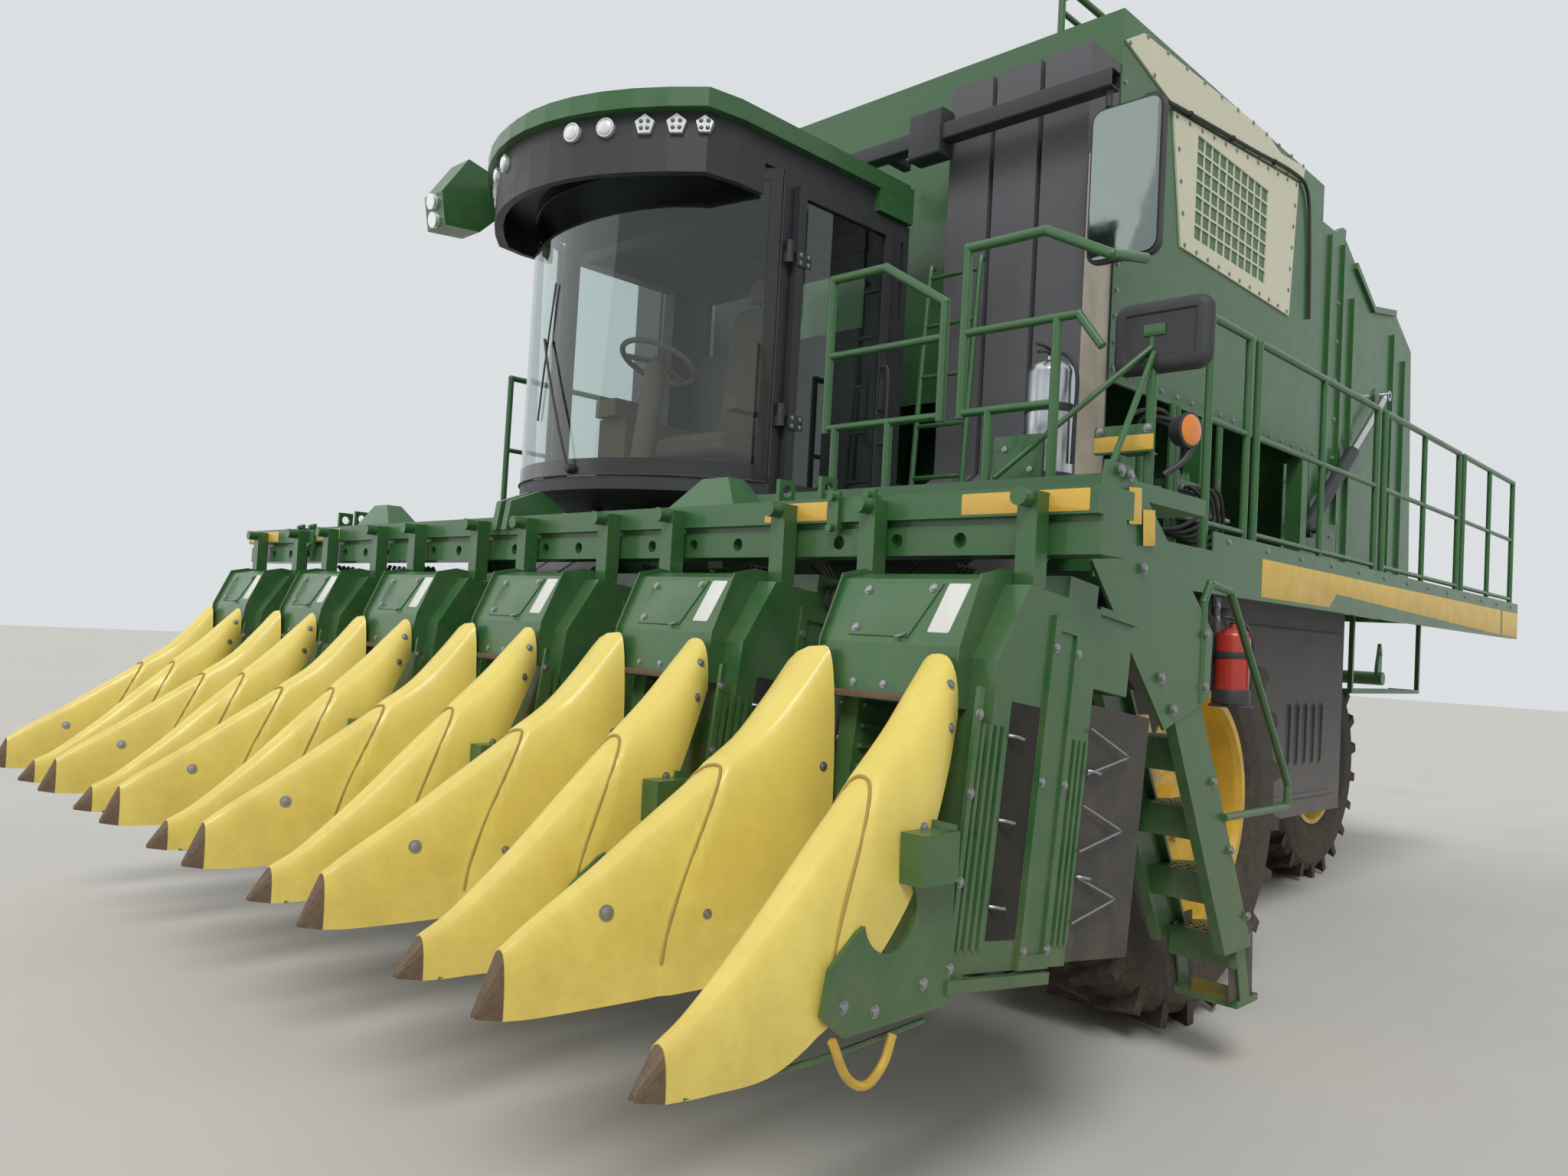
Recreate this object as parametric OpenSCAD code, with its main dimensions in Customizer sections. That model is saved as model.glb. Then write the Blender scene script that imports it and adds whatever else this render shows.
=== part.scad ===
// Six-row self-propelled cotton picker with a round module builder.
// Millimetres. Forward is -Y, the machine's left is +X, the ground is z = 0.
// Lengths along Y are written from the front axle and shifted once, by axle_y.

/* [Overall] */
// Distance from the front axle to the rear axle
wheelbase = 4290; // [4150:10:4400]
// Distance from the front axle to the snout points
front_reach = 3700; // [3650:10:3800]
// Distance from the front axle to the rear end of the module handler
rear_reach = 6250; // [6150:10:6400]
// Height of the walkway decks
deck_z = 2170; // [2120:10:2220]
// Height of the landing beside the cab
landing_z = 2250; // [2230:10:2280]

/* [Front wheels] */
// Outer diameter over the lugs of a front tyre
front_tyre_d = 1950; // [1850:10:1990]
// Section width of a front tyre
front_tyre_w = 520; // [440:10:540]
// Bead diameter of a front rim
front_rim_d = 1067; // [1000:1:1100]
// Distance from the centre line to the inner front wheel
inner_wheel_x = 965; // [940:5:985]
// Distance between the two wheels of a front pair
dual_pitch = 965; // [900:5:1000]

/* [Rear wheels] */
// Outer diameter over the lugs of a rear tyre
rear_tyre_d = 1750; // [1650:10:1770]
// Section width of a rear tyre
rear_tyre_w = 520; // [440:10:530]
// Bead diameter of a rear rim
rear_rim_d = 864; // [800:1:900]
// Distance from the centre line to a rear wheel
rear_wheel_x = 965; // [950:5:990]
// Distance from the centre line to a kingpin
kingpin_x = 560; // [540:5:580]

/* [Header] */
// Number of picking rows
rows = 6; // [6]
// Distance between two rows
row_pitch = 965; // [940:5:980]
// Width of a row unit's hood
hood_w = 500; // [480:5:520]
// Height of the toolbar's top face
toolbar_z = 2130; // [2110:5:2150]
// Height of the snout points
point_z = 760; // [720:10:800]
// Height of the row units' lower edge
unit_z = 850; // [830:10:880]

/* [Cab] */
// Width of the cab over its pillars
cab_w = 1720; // [1660:10:1760]
// Height of the cab's eaves
eaves_z = 3760; // [3720:10:3800]

/* [Accumulator and module builder] */
// Width of the accumulator over its walls
acc_w = 3400; // [3400:10:3480]
// Height of the accumulator's flat top
acc_top_z = 4850; // [4800:10:4900]
// Inner diameter of the round module chamber
module_d = 2340; // [2250:10:2360]
// Outer width of the module chamber
chamber_w = 2700; // [2640:10:2740]

/* [Hidden] */

green = "#2f6b35";
yellow = "#e3b92e";
snout_yellow = "#e8cf5a";
dark = "#23282f";
tyre_black = "#1c1c1c";
steel = "#8d8478";
chrome = "#c9ccd0";
duct_grey = "#4a4b52";
cream = "#d9d8bc";
pale_green = "#bfcfc0";
glass = "#9fb0b5";

$fn = 48;
// Shift from lengths written from the front axle to the frame of the part
axle_y = (front_reach - rear_reach) / 2;
// Radial clearance of a pin in its bore
pin_gap = 0.05;
// Gap that keeps curved faces of different bodies apart
skin_gap = 0.4;
front_axle_z = front_tyre_d / 2;
rear_axle_z = rear_tyre_d / 2;

// Spindles and hubs
spindle_r = 90;
hub_r = 150;
rim_t = 12;
lugs = 22;
lug_h = 48;
kingpin_r = 45;

// Frame rails
rail_x = 430;
rail_w = 120;
rail_low_z = 1150;
rail_low_h = 260;
rail_high_h = 210;
// The rails' high rear part carries the outriggers
outrigger_h = 80;
outrigger_z = deck_z - 120;
rail_high_z = outrigger_z - rail_high_h;
outrigger_y = [-1500, -350, 900, 2400, 3150, 5200];
acc_low_z = 3000;
acc_wall = 20;
acc_front_y = -150;
acc_back_y = 2600;
chamber_top_z = 4980;

// Tow pin bore and tie-down bores
tow_y = rear_reach - 610;
tow_r = 16;
tie_down_y = -1045;
tie_down_r = 20;

// Header lift linkage, each point as [y, z]
arm_x = 470;
arm_w = 90;
arm_root = [-820, 1330];
arm_head = [-2010, 1880];
arm_pin_r = 35;
ram_x = 300;
boom_y = -560;
// Air ducts share the room between the cab and the accumulator's side, with a gap beside each
ducts_side = 3;
duct_gap = 28;
duct_edge = 7;
duct_w = (acc_w / 2 - duct_edge - cab_w / 2 - 27 - (ducts_side - 1) * duct_gap) / ducts_side;
duct_x = [for (i = [0 : ducts_side - 1]) cab_w / 2 + 27 + duct_w / 2 + i * (duct_w + duct_gap)];
duct_out_z = [4120, 4560];
// Depth of a duct, the foot of its slanting part as [y, z] and the slope of that part
duct_depth = 280;
duct_foot = [-1600, 1600];
duct_slope = 33;
duct_back_y = acc_front_y;
duct_t = 10;
duct_head_z = 4090;
ram_root = [-980, 980];
ram_eye = [-1610, 1560];

// Row units, with x from the row's centre line
unit_face_y = -2640;
unit_back_y = -2140;
unit_top_z = toolbar_z - 260;
// Faces of a unit: the throat wall's two, the drum housing's two
throat_wall_x = [-137, -76];
housing_x = [70, 378];
gearbox_h = 64;
drive_at = [-2250, unit_top_z - 5];
// Turn of a unit about its hood's lip, lower end forward
unit_lean = 7;
post_t = 12;
// Grid bars in the throat: pitch, thickness and how far they stand out
grid_pitch = 58;
grid_bar = 12;
toolbar_half = 2925;
// Toolbar: front and rear faces, stop block, clamps, lifting eyes, and the hangers from a row's centre line
bar_y = [-2390, -2190];
stop_x = 1120;
clamp_x = [1960, 2110];
eye_x = [1640, 1840];
hanger_x = [-245, 330];
hood_face_y = -2690;
hood_lip_z = 1520;
point_l = 60;
snout_front_y = point_l + 0.5 - front_reach;
// Rear ends of the snouts, just off the hoods that carry them
snout_back_y = -2705;
moulding_t = 8;
row_x = [for (k = [0 : rows - 1]) ((rows - 1) / 2 - k) * row_pitch];
hood_shift = 46;

// Walkway decks: front end, rear end, outer edge and thickness, then the folding step under the left one
deck_front_y = -1110;
deck_end_y = rear_reach - 350;
deck_x = 2200;
deck_t = 40;
step_y = [deck_end_y - 2480, deck_end_y - 890];
step_x = [1500, 1720];
step_z = deck_z - 690;
step_t = 30;
rail_h = 1100;

// Landing, its rails and the ladder's middle and stringer outline as [y, z]
landing_front_y = -1850;
landing_rail_y = -1828;
ladder_x = 2600;
stringer = [[-1340, 1520], [-1110, 1540], [-540, 550], [-790, 550]];

// Cab
cab_front_y = -2150;
pillar_y = -1600;
cab_back_y = -700;
rear_pillar_y = -860;
door_end_y = -875;
cab_floor_z = 2280;
// Roof: half width, front at the middle and at the corners, underside of the cap, lower edge of the visor
roof_half = cab_w / 2 + 20;
roof_front_y = cab_front_y - 270;
roof_side_y = cab_front_y + 80;
roof_z = eaves_z + 120;
visor_z = eaves_z - 140;
pod_x = [-roof_half - 210, -roof_half - 30];
visor_inset = 40;
pane_t = 6;
floor_t = 60;
// Door pins, from the cab's left side and from the front axle
door_pin_x = 24;
door_gap = 6;
door_t = 36;
door_pin_y = -1572;
door_hinge_z = [cab_floor_z + 320, eaves_z - 420];

// Module builder, each point as [y, z]
chamber_c = [4350, 3340];
chamber_low_z = deck_z - 40;
split_y = 4100;
gate_pin = [4100, 5040];
sheet = 8;
gate_ram_root = [3250, 2620];
gate_ram_eye = [4900, 3900];
handler_pin = [rear_reach - 690, 1560];

// Helpers

// Moves lengths written from the front axle into the part's frame
module from_axle() translate([0, axle_y, 0]) children();

// Draws its children and their mirror image across the centre line
module both_sides() {
    children();
    mirror([1, 0, 0]) children();
}

// A [y, z] outline as a plate of thickness t whose inner face is at x
module yz_plate(x, t, outline) {
    translate([x, 0, 0]) rotate([90, 0, 90]) linear_extrude(t) polygon(outline);
}

// A round bar from a to b
module bar(a, b, d, fn = 16) {
    v = b - a;
    length = norm(v);
    translate(a) rotate([0, acos(v[2] / length), atan2(v[1], v[0])])
        cylinder(d = d, h = length, $fn = fn);
}

// A bent tube through points, with ball corners
module bent_tube(points, d, fn = 16) {
    for (i = [0 : len(points) - 2]) bar(points[i], points[i + 1], d, fn);
    for (i = [1 : len(points) - 2]) translate(points[i]) sphere(d = d + 2, $fn = fn);
}

// A shaft along X from x0 to x1 at [y, z]
module cross_shaft(x0, x1, at, r, fn = 48) {
    translate([x0, at[0], at[1]]) rotate([0, 90, 0]) cylinder(r = r, h = x1 - x0, $fn = fn);
}

// A box from its low corner to its high corner
module block(low, high) translate(low) cube(high - low);

// Chassis

// Two rails, stepped up over the rear axle, with tie-down tabs and the module handler's brackets
module frame_rails() color(green) from_axle() difference() {
    union() {
        both_sides() yz_plate(rail_x - rail_w / 2, rail_w, [
            [-1000, rail_low_z], [2900, rail_low_z], [3150, rail_high_z],
            [rear_reach - 650, rail_high_z], [rear_reach - 650, outrigger_z], [3000, outrigger_z],
            [2750, rail_low_z + rail_low_h], [-700, rail_low_z + rail_low_h],
            [-1000, rail_low_z + rail_low_h + 60]]);
        both_sides() block([rail_x - 40, tie_down_y - 45, rail_low_z], [rail_x + 40, -995, rail_low_z + 30]);
        both_sides() yz_plate(rail_x - 20, 40, [
            [handler_pin[0] - 70, handler_pin[1] - 60], [handler_pin[0] + 60, handler_pin[1] - 60],
            [handler_pin[0] + 60, handler_pin[1] + 60], [rear_reach - 650, rail_high_z + 10],
            [rear_reach - 950, rail_high_z + 10]]);
    }
    both_sides() cross_shaft(rail_x - 80, rail_x + 80, arm_root, arm_pin_r + pin_gap);
    both_sides() cross_shaft(rail_x - 30, rail_x + 30, handler_pin, 30 + pin_gap);
    both_sides() translate([rail_x, tie_down_y, rail_low_z - 1]) cylinder(r = tie_down_r, h = 32);
}

// Members between the rails, posts on them, the lift cylinders' bracket and the tow tongue
module cross_members() color(green) from_axle() {
    inner = rail_x - rail_w / 2;
    for (y = [900, 2500])
        block([-inner, y, rail_low_z + 40], [inner, y + 140, rail_low_z + rail_low_h - 40]);
    block([-inner, 3300, rail_high_z + 20], [inner, 3440, outrigger_z - 20]);
    // Pedestal over the rear axle beam
    block([-inner, wheelbase - 150, rear_axle_z + 110], [inner, wheelbase + 150, outrigger_z - 60]);
    // Bracket of the lift cylinders
    difference() {
        union() {
            block([-inner, -640, rail_low_z - 60], [inner, -480, rail_low_z + 200]);
            for (s = [-1, 1], o = [-90, 60])
                yz_plate(s * ram_x + o, 30, [ram_root + [-60, -60], ram_root + [-60, 60],
                    ram_root + [60, 75], [-640, rail_low_z - 20], [-480, rail_low_z - 20], [-480, 900],
                    [-640, 840]]);
        }
        for (s = [-1, 1]) cross_shaft(s * ram_x - 95, s * ram_x + 95, ram_root, 25 + pin_gap);
    }
    difference() {
        union() {
            block([-inner, rear_reach - 850, rail_high_z + 20], [inner, rear_reach - 710, outrigger_z - 20]);
            block([-60, rear_reach - 720, rail_high_z + 40], [60, tow_y + 50, rail_high_z + 90]);
        }
        translate([0, tow_y, rail_high_z]) cylinder(r = tow_r, h = 100);
    }
    // Posts between the low rails and the outriggers
    both_sides() for (y = [-350, 900, 2400])
        block([rail_x - 50, y, rail_low_z + rail_low_h], [rail_x + 50, y + 100, outrigger_z]);
    both_sides() yz_plate(rail_x - 50, 100, [[-1000, rail_low_z + rail_low_h + 60],
        [-800, rail_low_z + rail_low_h + 20], [-800, outrigger_z], [-1500, outrigger_z],
        [-1500, deck_z - 200], [-1000, deck_z - 320]]);
}

// Beams that carry the landing, the cab, the decks and, on posts, the accumulator
module outriggers() color(green) from_axle() {
    for (y = outrigger_y)
        block([-2150, y, outrigger_z], [2150, y + 100, outrigger_z + outrigger_h]);
    both_sides() block([450, -1580, outrigger_z + outrigger_h], [530, -250, deck_z + 40]);
    both_sides() for (y = [900, 2400])
        block([acc_w / 2 - 100, y, deck_z], [acc_w / 2, y + 100, acc_low_z]);
}

// Axle tube, final drives and spindles
module front_axle() color(green) from_axle() {
    cross_shaft(-690, 690, [0, front_axle_z], 160);
    both_sides() {
        cross_shaft(520, 690, [0, front_axle_z], 250);
        block([rail_x - 100, -170, front_axle_z + 100], [rail_x + 90, 170, rail_low_z]);
        cross_shaft(690, inner_wheel_x + 140, [0, front_axle_z], spindle_r);
    }
}

module rear_axle() color(green) from_axle() difference() {
    union() {
        block([-kingpin_x, wheelbase - 90, rear_axle_z - 100], [kingpin_x, wheelbase + 90, rear_axle_z + 110]);
        both_sides() translate([kingpin_x, wheelbase, rear_axle_z - 130]) cylinder(r = 90, h = 260);
    }
    both_sides() translate([kingpin_x, wheelbase, rear_axle_z - 140])
        cylinder(r = kingpin_r + pin_gap, h = 280);
}

module engine_block() color("#4d5254") from_axle()
    block([-370, 1120, rail_low_z + rail_low_h], [370, 2390, rail_low_z + rail_low_h + 1000]);

module side_tanks() color(duct_grey) from_axle() both_sides()
    block([1180, 1150, 690], [1700, 3290, outrigger_z]);

module cab_shell() color(dark) from_axle() {
    half = cab_w / 2;
    difference() {
        union() {
            // Floor pan
            block([-half, pillar_y, cab_floor_z], [half, cab_back_y, cab_floor_z + floor_t]);
            translate([0, 0, cab_floor_z]) linear_extrude(floor_t) windscreen_plan(0);
            both_sides() for (y = [-1540, -820]) translate([490, y, deck_z + 40])
                cylinder(d = 70, h = cab_floor_z - deck_z - 40);
            // Rear wall
            block([-half, cab_back_y - 40, cab_floor_z], [half, cab_back_y, eaves_z]);
            // Pillars and eaves ring
            both_sides() block([half - 70, pillar_y, cab_floor_z], [half, pillar_y + 70, eaves_z]);
            both_sides() block([half - 90, rear_pillar_y, cab_floor_z], [half, rear_pillar_y + 100, eaves_z]);
            both_sides() block([half - 40, rear_pillar_y, cab_floor_z], [half, cab_back_y, cab_floor_z + 1000]);
            difference() {
                block([-half, pillar_y, eaves_z - 90], [half, cab_back_y, eaves_z]);
                block([-half + 90, pillar_y + 90, eaves_z - 100], [half - 90, cab_back_y - 90, eaves_z + 10]);
            }
        }
        block([-half + 250, cab_back_y - 60, cab_floor_z + 1000], [half - 250, cab_back_y + 20, eaves_z - 160]);
    }
    // Hinge lugs of the door
    for (z = door_hinge_z) difference() {
        union() {
            block([half, door_pin_y - 20, z], [half + door_pin_x, door_pin_y + 20, z + 50]);
            translate([half + door_pin_x, door_pin_y, z]) cylinder(r = 20, h = 50);
        }
        translate([half + door_pin_x, door_pin_y, z - 1]) cylinder(r = 10 + pin_gap, h = 52);
    }
}

// Plan of the bowed front of the cab, drawn in by inset
module windscreen_plan(inset) {
    half = cab_w / 2;
    sagitta = pillar_y - cab_front_y;
    r = (half * half + sagitta * sagitta) / (2 * sagitta);
    intersection() {
        translate([0, cab_front_y + r]) circle(r = r - inset, $fn = 192);
        translate([-half + inset, cab_front_y - 10]) square([cab_w - 2 * inset, sagitta + 10]);
    }
}

// Plan of the roof: a bowed front and straight sides, drawn in by inset
function roof_plan(inset) = let (w = roof_half - inset, n = 12) concat(
    [[w, cab_back_y], [w, roof_side_y + 190], [w - 30, roof_side_y + inset]],
    [for (i = [1 : n - 1]) let (u = 1 - 2 * i / n)
        [u * (w - 30), roof_side_y + inset - (roof_side_y - roof_front_y) * (1 - u * u)]],
    [[30 - w, roof_side_y + inset], [-w, roof_side_y + 190], [-w, cab_back_y]]);

// Moulded cap with a stepped edge and a raised middle
module cab_roof() color(green) from_axle() {
    translate([0, 0, roof_z]) linear_extrude(70) polygon(roof_plan(0));
    translate([0, 0, roof_z + 69]) linear_extrude(30) polygon(roof_plan(25));
    translate([0, 0, roof_z + 98]) linear_extrude(22) polygon([for (p = roof_plan(120))
        [p[0], min(p[1], cab_back_y - 90)]]);
    both_sides() block([roof_half - 190, cab_back_y - 260, roof_z - 110], [roof_half - 1, cab_back_y, roof_z + 1]);
    // Lamp pod on the right front corner
    yz_plate(pod_x[0], pod_x[1] - pod_x[0], [[-2290, 3680], [-2320, 3850], [-2180, 4060], [-1930, 4000],
        [-1930, 3860], [-2090, 3700]]);
    block([pod_x[1] - 1, -1990, roof_z + 10], [visor_inset - roof_half, -1940, roof_z + 60]);
}

// Dark visor under the cap and its front skirt
module roof_visor() color(dark) from_axle() {
    difference() {
        translate([0, 0, eaves_z]) linear_extrude(roof_z - eaves_z) polygon(roof_plan(visor_inset));
        both_sides() block([roof_half - 190, cab_back_y - 260, roof_z - 110], [roof_half - 1, cab_back_y + 1, roof_z + 1]);
        for (l = lamps) lamp(l, 60);
    }
    translate([0, 0, visor_z]) linear_extrude(eaves_z - visor_z) difference() {
        polygon(roof_plan(visor_inset));
        polygon(roof_plan(visor_inset + 35));
        translate([-cab_w, pillar_y - 110]) square([2 * cab_w, wheelbase]);
    }
}

// Work lamps let into the visor's face: [x, radius, sides of the lens]
lamps = [for (side = [-1, 1], l = [[270, 42, 48], [430, 42, 48], [590, 46, 5], [705, 46, 5], [800, 40, 5]])
    [side * l[0], l[1], l[2]]];
// Place and turn of the visor's face at x
function face_u(x) = x / (roof_half - visor_inset - 30);
function face_y(x) = roof_side_y + visor_inset - (roof_side_y - roof_front_y) * (1 - pow(face_u(x), 2));
function face_turn(x) = atan(2 * (roof_side_y - roof_front_y) * face_u(x) / (roof_half - visor_inset - 30));
module lamp(l, grow) translate([l[0], face_y(l[0]), (eaves_z + roof_z) / 2])
    rotate([90, 0, face_turn(l[0])]) rotate(18) translate([0, 0, -60]) cylinder(r = l[1], h = 76 + grow, $fn = l[2]);
module roof_lamps() color(chrome) from_axle() {
    for (l = lamps) lamp(l, 0);
    // The pod's two lamps, one over the other on its front
    for (z = [3720, 3812]) translate([(pod_x[0] + pod_x[1]) / 2, -2290.3 - (z - 3680) * 3 / 17, z])
        rotate([100, 0, 0]) cylinder(d = 80, h = 22, $fn = 32);
}

module cab_glass() color(glass) from_axle() {
    half = cab_w / 2;
    // Bowed windscreen, one pane between the floor pan and the eaves
    translate([0, 0, cab_floor_z + floor_t]) linear_extrude(eaves_z - cab_floor_z - floor_t) difference() {
        windscreen_plan(0);
        windscreen_plan(pane_t);
        translate([-half, pillar_y - pane_t - 1]) square([cab_w, 100]);
    }
    // Right side pane
    block([-half, pillar_y + 70, cab_floor_z + floor_t], [-half + pane_t, rear_pillar_y, eaves_z - 90]);
}

// Cushion, back and head rest of the seat
module seat() color("#8c7a6b") from_axle() {
    f = cab_floor_z + floor_t;
    block([-270, -1380, f + 190], [270, -880, f + 350]);
    yz_plate(-250, 500, [[-960, f + 350.3], [-870, f + 350.3], [-780, f + 1120], [-860, f + 1150], [-920, f + 1080]]);
    yz_plate(-150, 300, [[-856, f + 1148.9], [-800, f + 1127.9], [-770, f + 1290], [-830, f + 1300]]);
}

// Seat pedestal, armrest, steering column with its wheel, and the console beside the seat
module cab_interior() color("#5d5650") from_axle() {
    f = cab_floor_z + floor_t;
    block([-190, -1300, f], [190, -900, f + 190]);
    block([190, -1000, f + 60], [330, -930, f + 130]);
    block([275, -1000, f + 129], [330, -930, f + 431]);
    block([275, -1360, f + 430], [365, -930, f + 500]);
    // Steering column on its foot box
    block([-80, -1720, f], [80, -1600, f + 60]);
    bar([0, -1660, f + 50], [0, -1580, f + 640], 110, 32);
    translate([0, -1572, f + 660]) rotate([-22, 0, 0]) {
        translate([0, 0, -60]) cylinder(d = 70, h = 76);
        rotate_extrude() translate([190, 0]) circle(r = 14);
        for (a = [90, 210, 330]) rotate(a) translate([0, -15, -8]) cube([190, 30, 16]);
    }
    // Console on the right of the seat
    block([-560, -1500, f], [-330, -900, f + 430]);
    block([-520, -1560, f + 429], [-350, -1300, f + 520]);
}

// Landing beside the cab, the boomerang plate on its outer edge and the ladder that hangs from it
module landing() color(green) from_axle() {
    block([cab_w / 2 + 60, landing_front_y, landing_z - 60], [ladder_x + 50, -1120, landing_z]);
    block([1400, landing_front_y, deck_z - 40], [2200, landing_front_y + 40, landing_z - 59]);
    // Bearer on the first outrigger
    block([1400, outrigger_y[0], outrigger_z + outrigger_h], [2150, outrigger_y[0] + 100, landing_z - 59]);
    yz_plate(ladder_x + 50, 12, [[-1870, 2290], [-1720, 2290], [-1040, 1770], [-1050, 1530], [-1400, 1420],
        [-1940, 1960]]);
    // Channel stringers
    for (x = [ladder_x - 250, ladder_x + 38]) {
        yz_plate(x, 12, stringer);
        yz_plate(x - (x < ladder_x ? 0 : 28), 40, [stringer[0], stringer[0] + [18, 0], stringer[3] + [18, 0],
            stringer[3]]);
        yz_plate(x - (x < ladder_x ? 0 : 28), 40, [stringer[1] - [18, 0], stringer[1], stringer[2],
            stringer[2] - [18, 0]]);
    }
    // Treads: half-moon plates with rows of holes and a deep apron below
    for (i = [0 : 3]) translate([ladder_x - 100, -1170 + i * 172, 1350 - i * 262]) {
        difference() {
            union() {
                block([-138, 0, 0], [138, 110, 26]);
                translate([0, 108, 0]) intersection() {
                    cylinder(r = 137, h = 26);
                    translate([-138, 0, 0]) cube([276, 138, 26]);
                }
            }
            for (x = [-90 : 45 : 90], y = [40, 95]) translate([x, y, -1]) cylinder(d = 26, h = 28, $fn = 16);
        }
        yz_plate(-138, 276, [[0, 0], [0, -90], [6, -90], [6, 0]]);
    }
    // Lowest tread on two straps
    for (x = [ladder_x - 235, ladder_x + 15]) yz_plate(x, 8, [[-640, 600], [-560, 600], [-470, 330], [-560, 330]]);
    block([ladder_x - 235, -590, 304], [ladder_x + 23, -390, 331]);
    // Hand tubes beside the stringers
    for (x = [ladder_x - 258, ladder_x + 58]) {
        bent_tube([[x, -1120, 1510], [x, -1120, 1880], [x, -1070, 1950], [x, -890, 1930], [x, -250, 1170],
            [x, -250, 1080], [x, -870, 1080]], 30);
    }
}

module decks() color(green) from_axle() {
    both_sides() {
        block([chamber_w / 2 + 30, -340, deck_z - deck_t], [deck_x, deck_end_y, deck_z]);
        block([2010, deck_front_y, deck_z - deck_t], [deck_x, -330, deck_z]);
        // Folded edge with its lower return
        block([deck_x - 8, deck_front_y, deck_z - 190], [deck_x, deck_end_y, deck_z - 30]);
        block([deck_x - 50, deck_front_y, deck_z - 198], [deck_x, deck_end_y, deck_z - 189]);
        // Kick plate
        block([deck_x - 6, -20, deck_z - 1], [deck_x, deck_end_y, deck_z + 90]);
    }
    // Folding step below the rear of the left deck: two hangers, their feet and three slats
    for (y = [step_y[0], step_y[1] - step_t]) {
        block([step_x[1] - step_t, y, step_z], [step_x[1], y + step_t, deck_z - deck_t + 1]);
        block([step_x[0], y, step_z], [step_x[1], y + step_t, step_z + step_t]);
    }
    block([step_x[1] - step_t, step_y[0], step_z], [step_x[1], step_y[1], step_z + step_t]);
    for (x = [0 : 70 : 140]) block([step_x[0] + x, step_y[0], step_z], [step_x[0] + x + 24, step_y[1], step_z + 24]);
}

// A railing section along Y at x: a bent top tube, a mid bar and a low bar, with posts between
module rail_run(x, y0, y1, posts) {
    h = rail_h;
    bent_tube([[x, y0, deck_z], [x, y0, deck_z + h], [x, y1, deck_z + h], [x, y1, deck_z]], 38);
    for (z = [deck_z + 130, deck_z + 620]) bar([x, y0, z], [x, y1, z], 30);
    for (i = [1 : posts]) bar([x, y0 + (y1 - y0) * i / (posts + 1), deck_z],
        [x, y0 + (y1 - y0) * i / (posts + 1), deck_z + h], 34);
}

// Sections along the left deck as [start, end, inner posts], and the one beside the cab on the right
rail_sections = [[-20, 420, 0], [540, 2370, 1], [2520, 4210, 1], [4340, deck_end_y - 60, 1]];
module handrails() color(green) from_axle() {
    both_sides() for (r = rail_sections) rail_run(deck_x - 50, r[0], r[1], r[2]);
    mirror([1, 0, 0]) rail_run(deck_x - 50, deck_front_y + 30, -120, 0);
}

// The two railings along the front of the landing
module landing_rails() color(green) from_axle() {
    y = landing_rail_y;
    bent_tube([[1400, y, 2480], [1400, y, 3100], [1670, y, 3100], [1960, y, 2920], [1960, y, 2480]], 36);
    for (z = [2500, 2790]) bar([1400, y, z], [1960, y, z], 30);
    for (x = [1450, 1720]) bar([x, y, landing_z], [x, y, 2500], 34);
    bent_tube([[2050, y, 2480], [2050, y, 3100], [2370, y, 3100], [2620, y, 2970], [2620, y + 230, 3020]], 36);
    bar([2050, y, 2500], [2430, y, 2500], 30);
    bent_tube([[2050, y, 2790], [2510, y, 2790], [2600, y, 2670]], 30);
    bar([2170, y, landing_z], [2170, y, 2500], 34);
    bar([2430, y, landing_z], [2430, y, 2790], 34);
}

// Guard rails on the accumulator's top edges
module top_guards() color(green) from_axle() both_sides() {
    z = acc_top_z;
    for (y = [500, 1100]) bar([1300, y, z], [1300, y, z + 300], 34);
    bent_tube([[1300, -80, z], [1300, -80, z + 220], [1300, 40, z + 300], [1300, 1500, z + 300],
        [1300, 1640, z + 200], [1300, 1640, z]], 38);
    bar([1300, -80, z + 150], [1300, 1640, z + 150], 30);
}

// A slanting square tube cut level at its foot's normal and mitred to the upright duct
duct_mitre = let (c = cos(duct_slope), t = tan(duct_slope),
        z0 = duct_foot[1] + (duct_back_y - duct_depth / 2 - duct_foot[0]) * t,
        m = duct_depth / 2 * (1 - sin(duct_slope)) / c)
    [[duct_back_y - duct_depth, z0 + m], [duct_back_y, z0 - m]];
module ducts() color(duct_grey) from_axle() for (k = [-1, 1], x = duct_x) difference() {
    yz_plate(k * x - duct_w / 2, duct_w, [duct_mitre[0], duct_mitre[1],
        [duct_back_y, duct_head_z], [duct_back_y - duct_depth, duct_head_z]]);
    block([k * x - duct_w / 2 + duct_t, duct_back_y - duct_depth + duct_t, 0],
        [k * x + duct_w / 2 - duct_t, duct_back_y - duct_t, duct_head_z + 1]);
}

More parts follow.
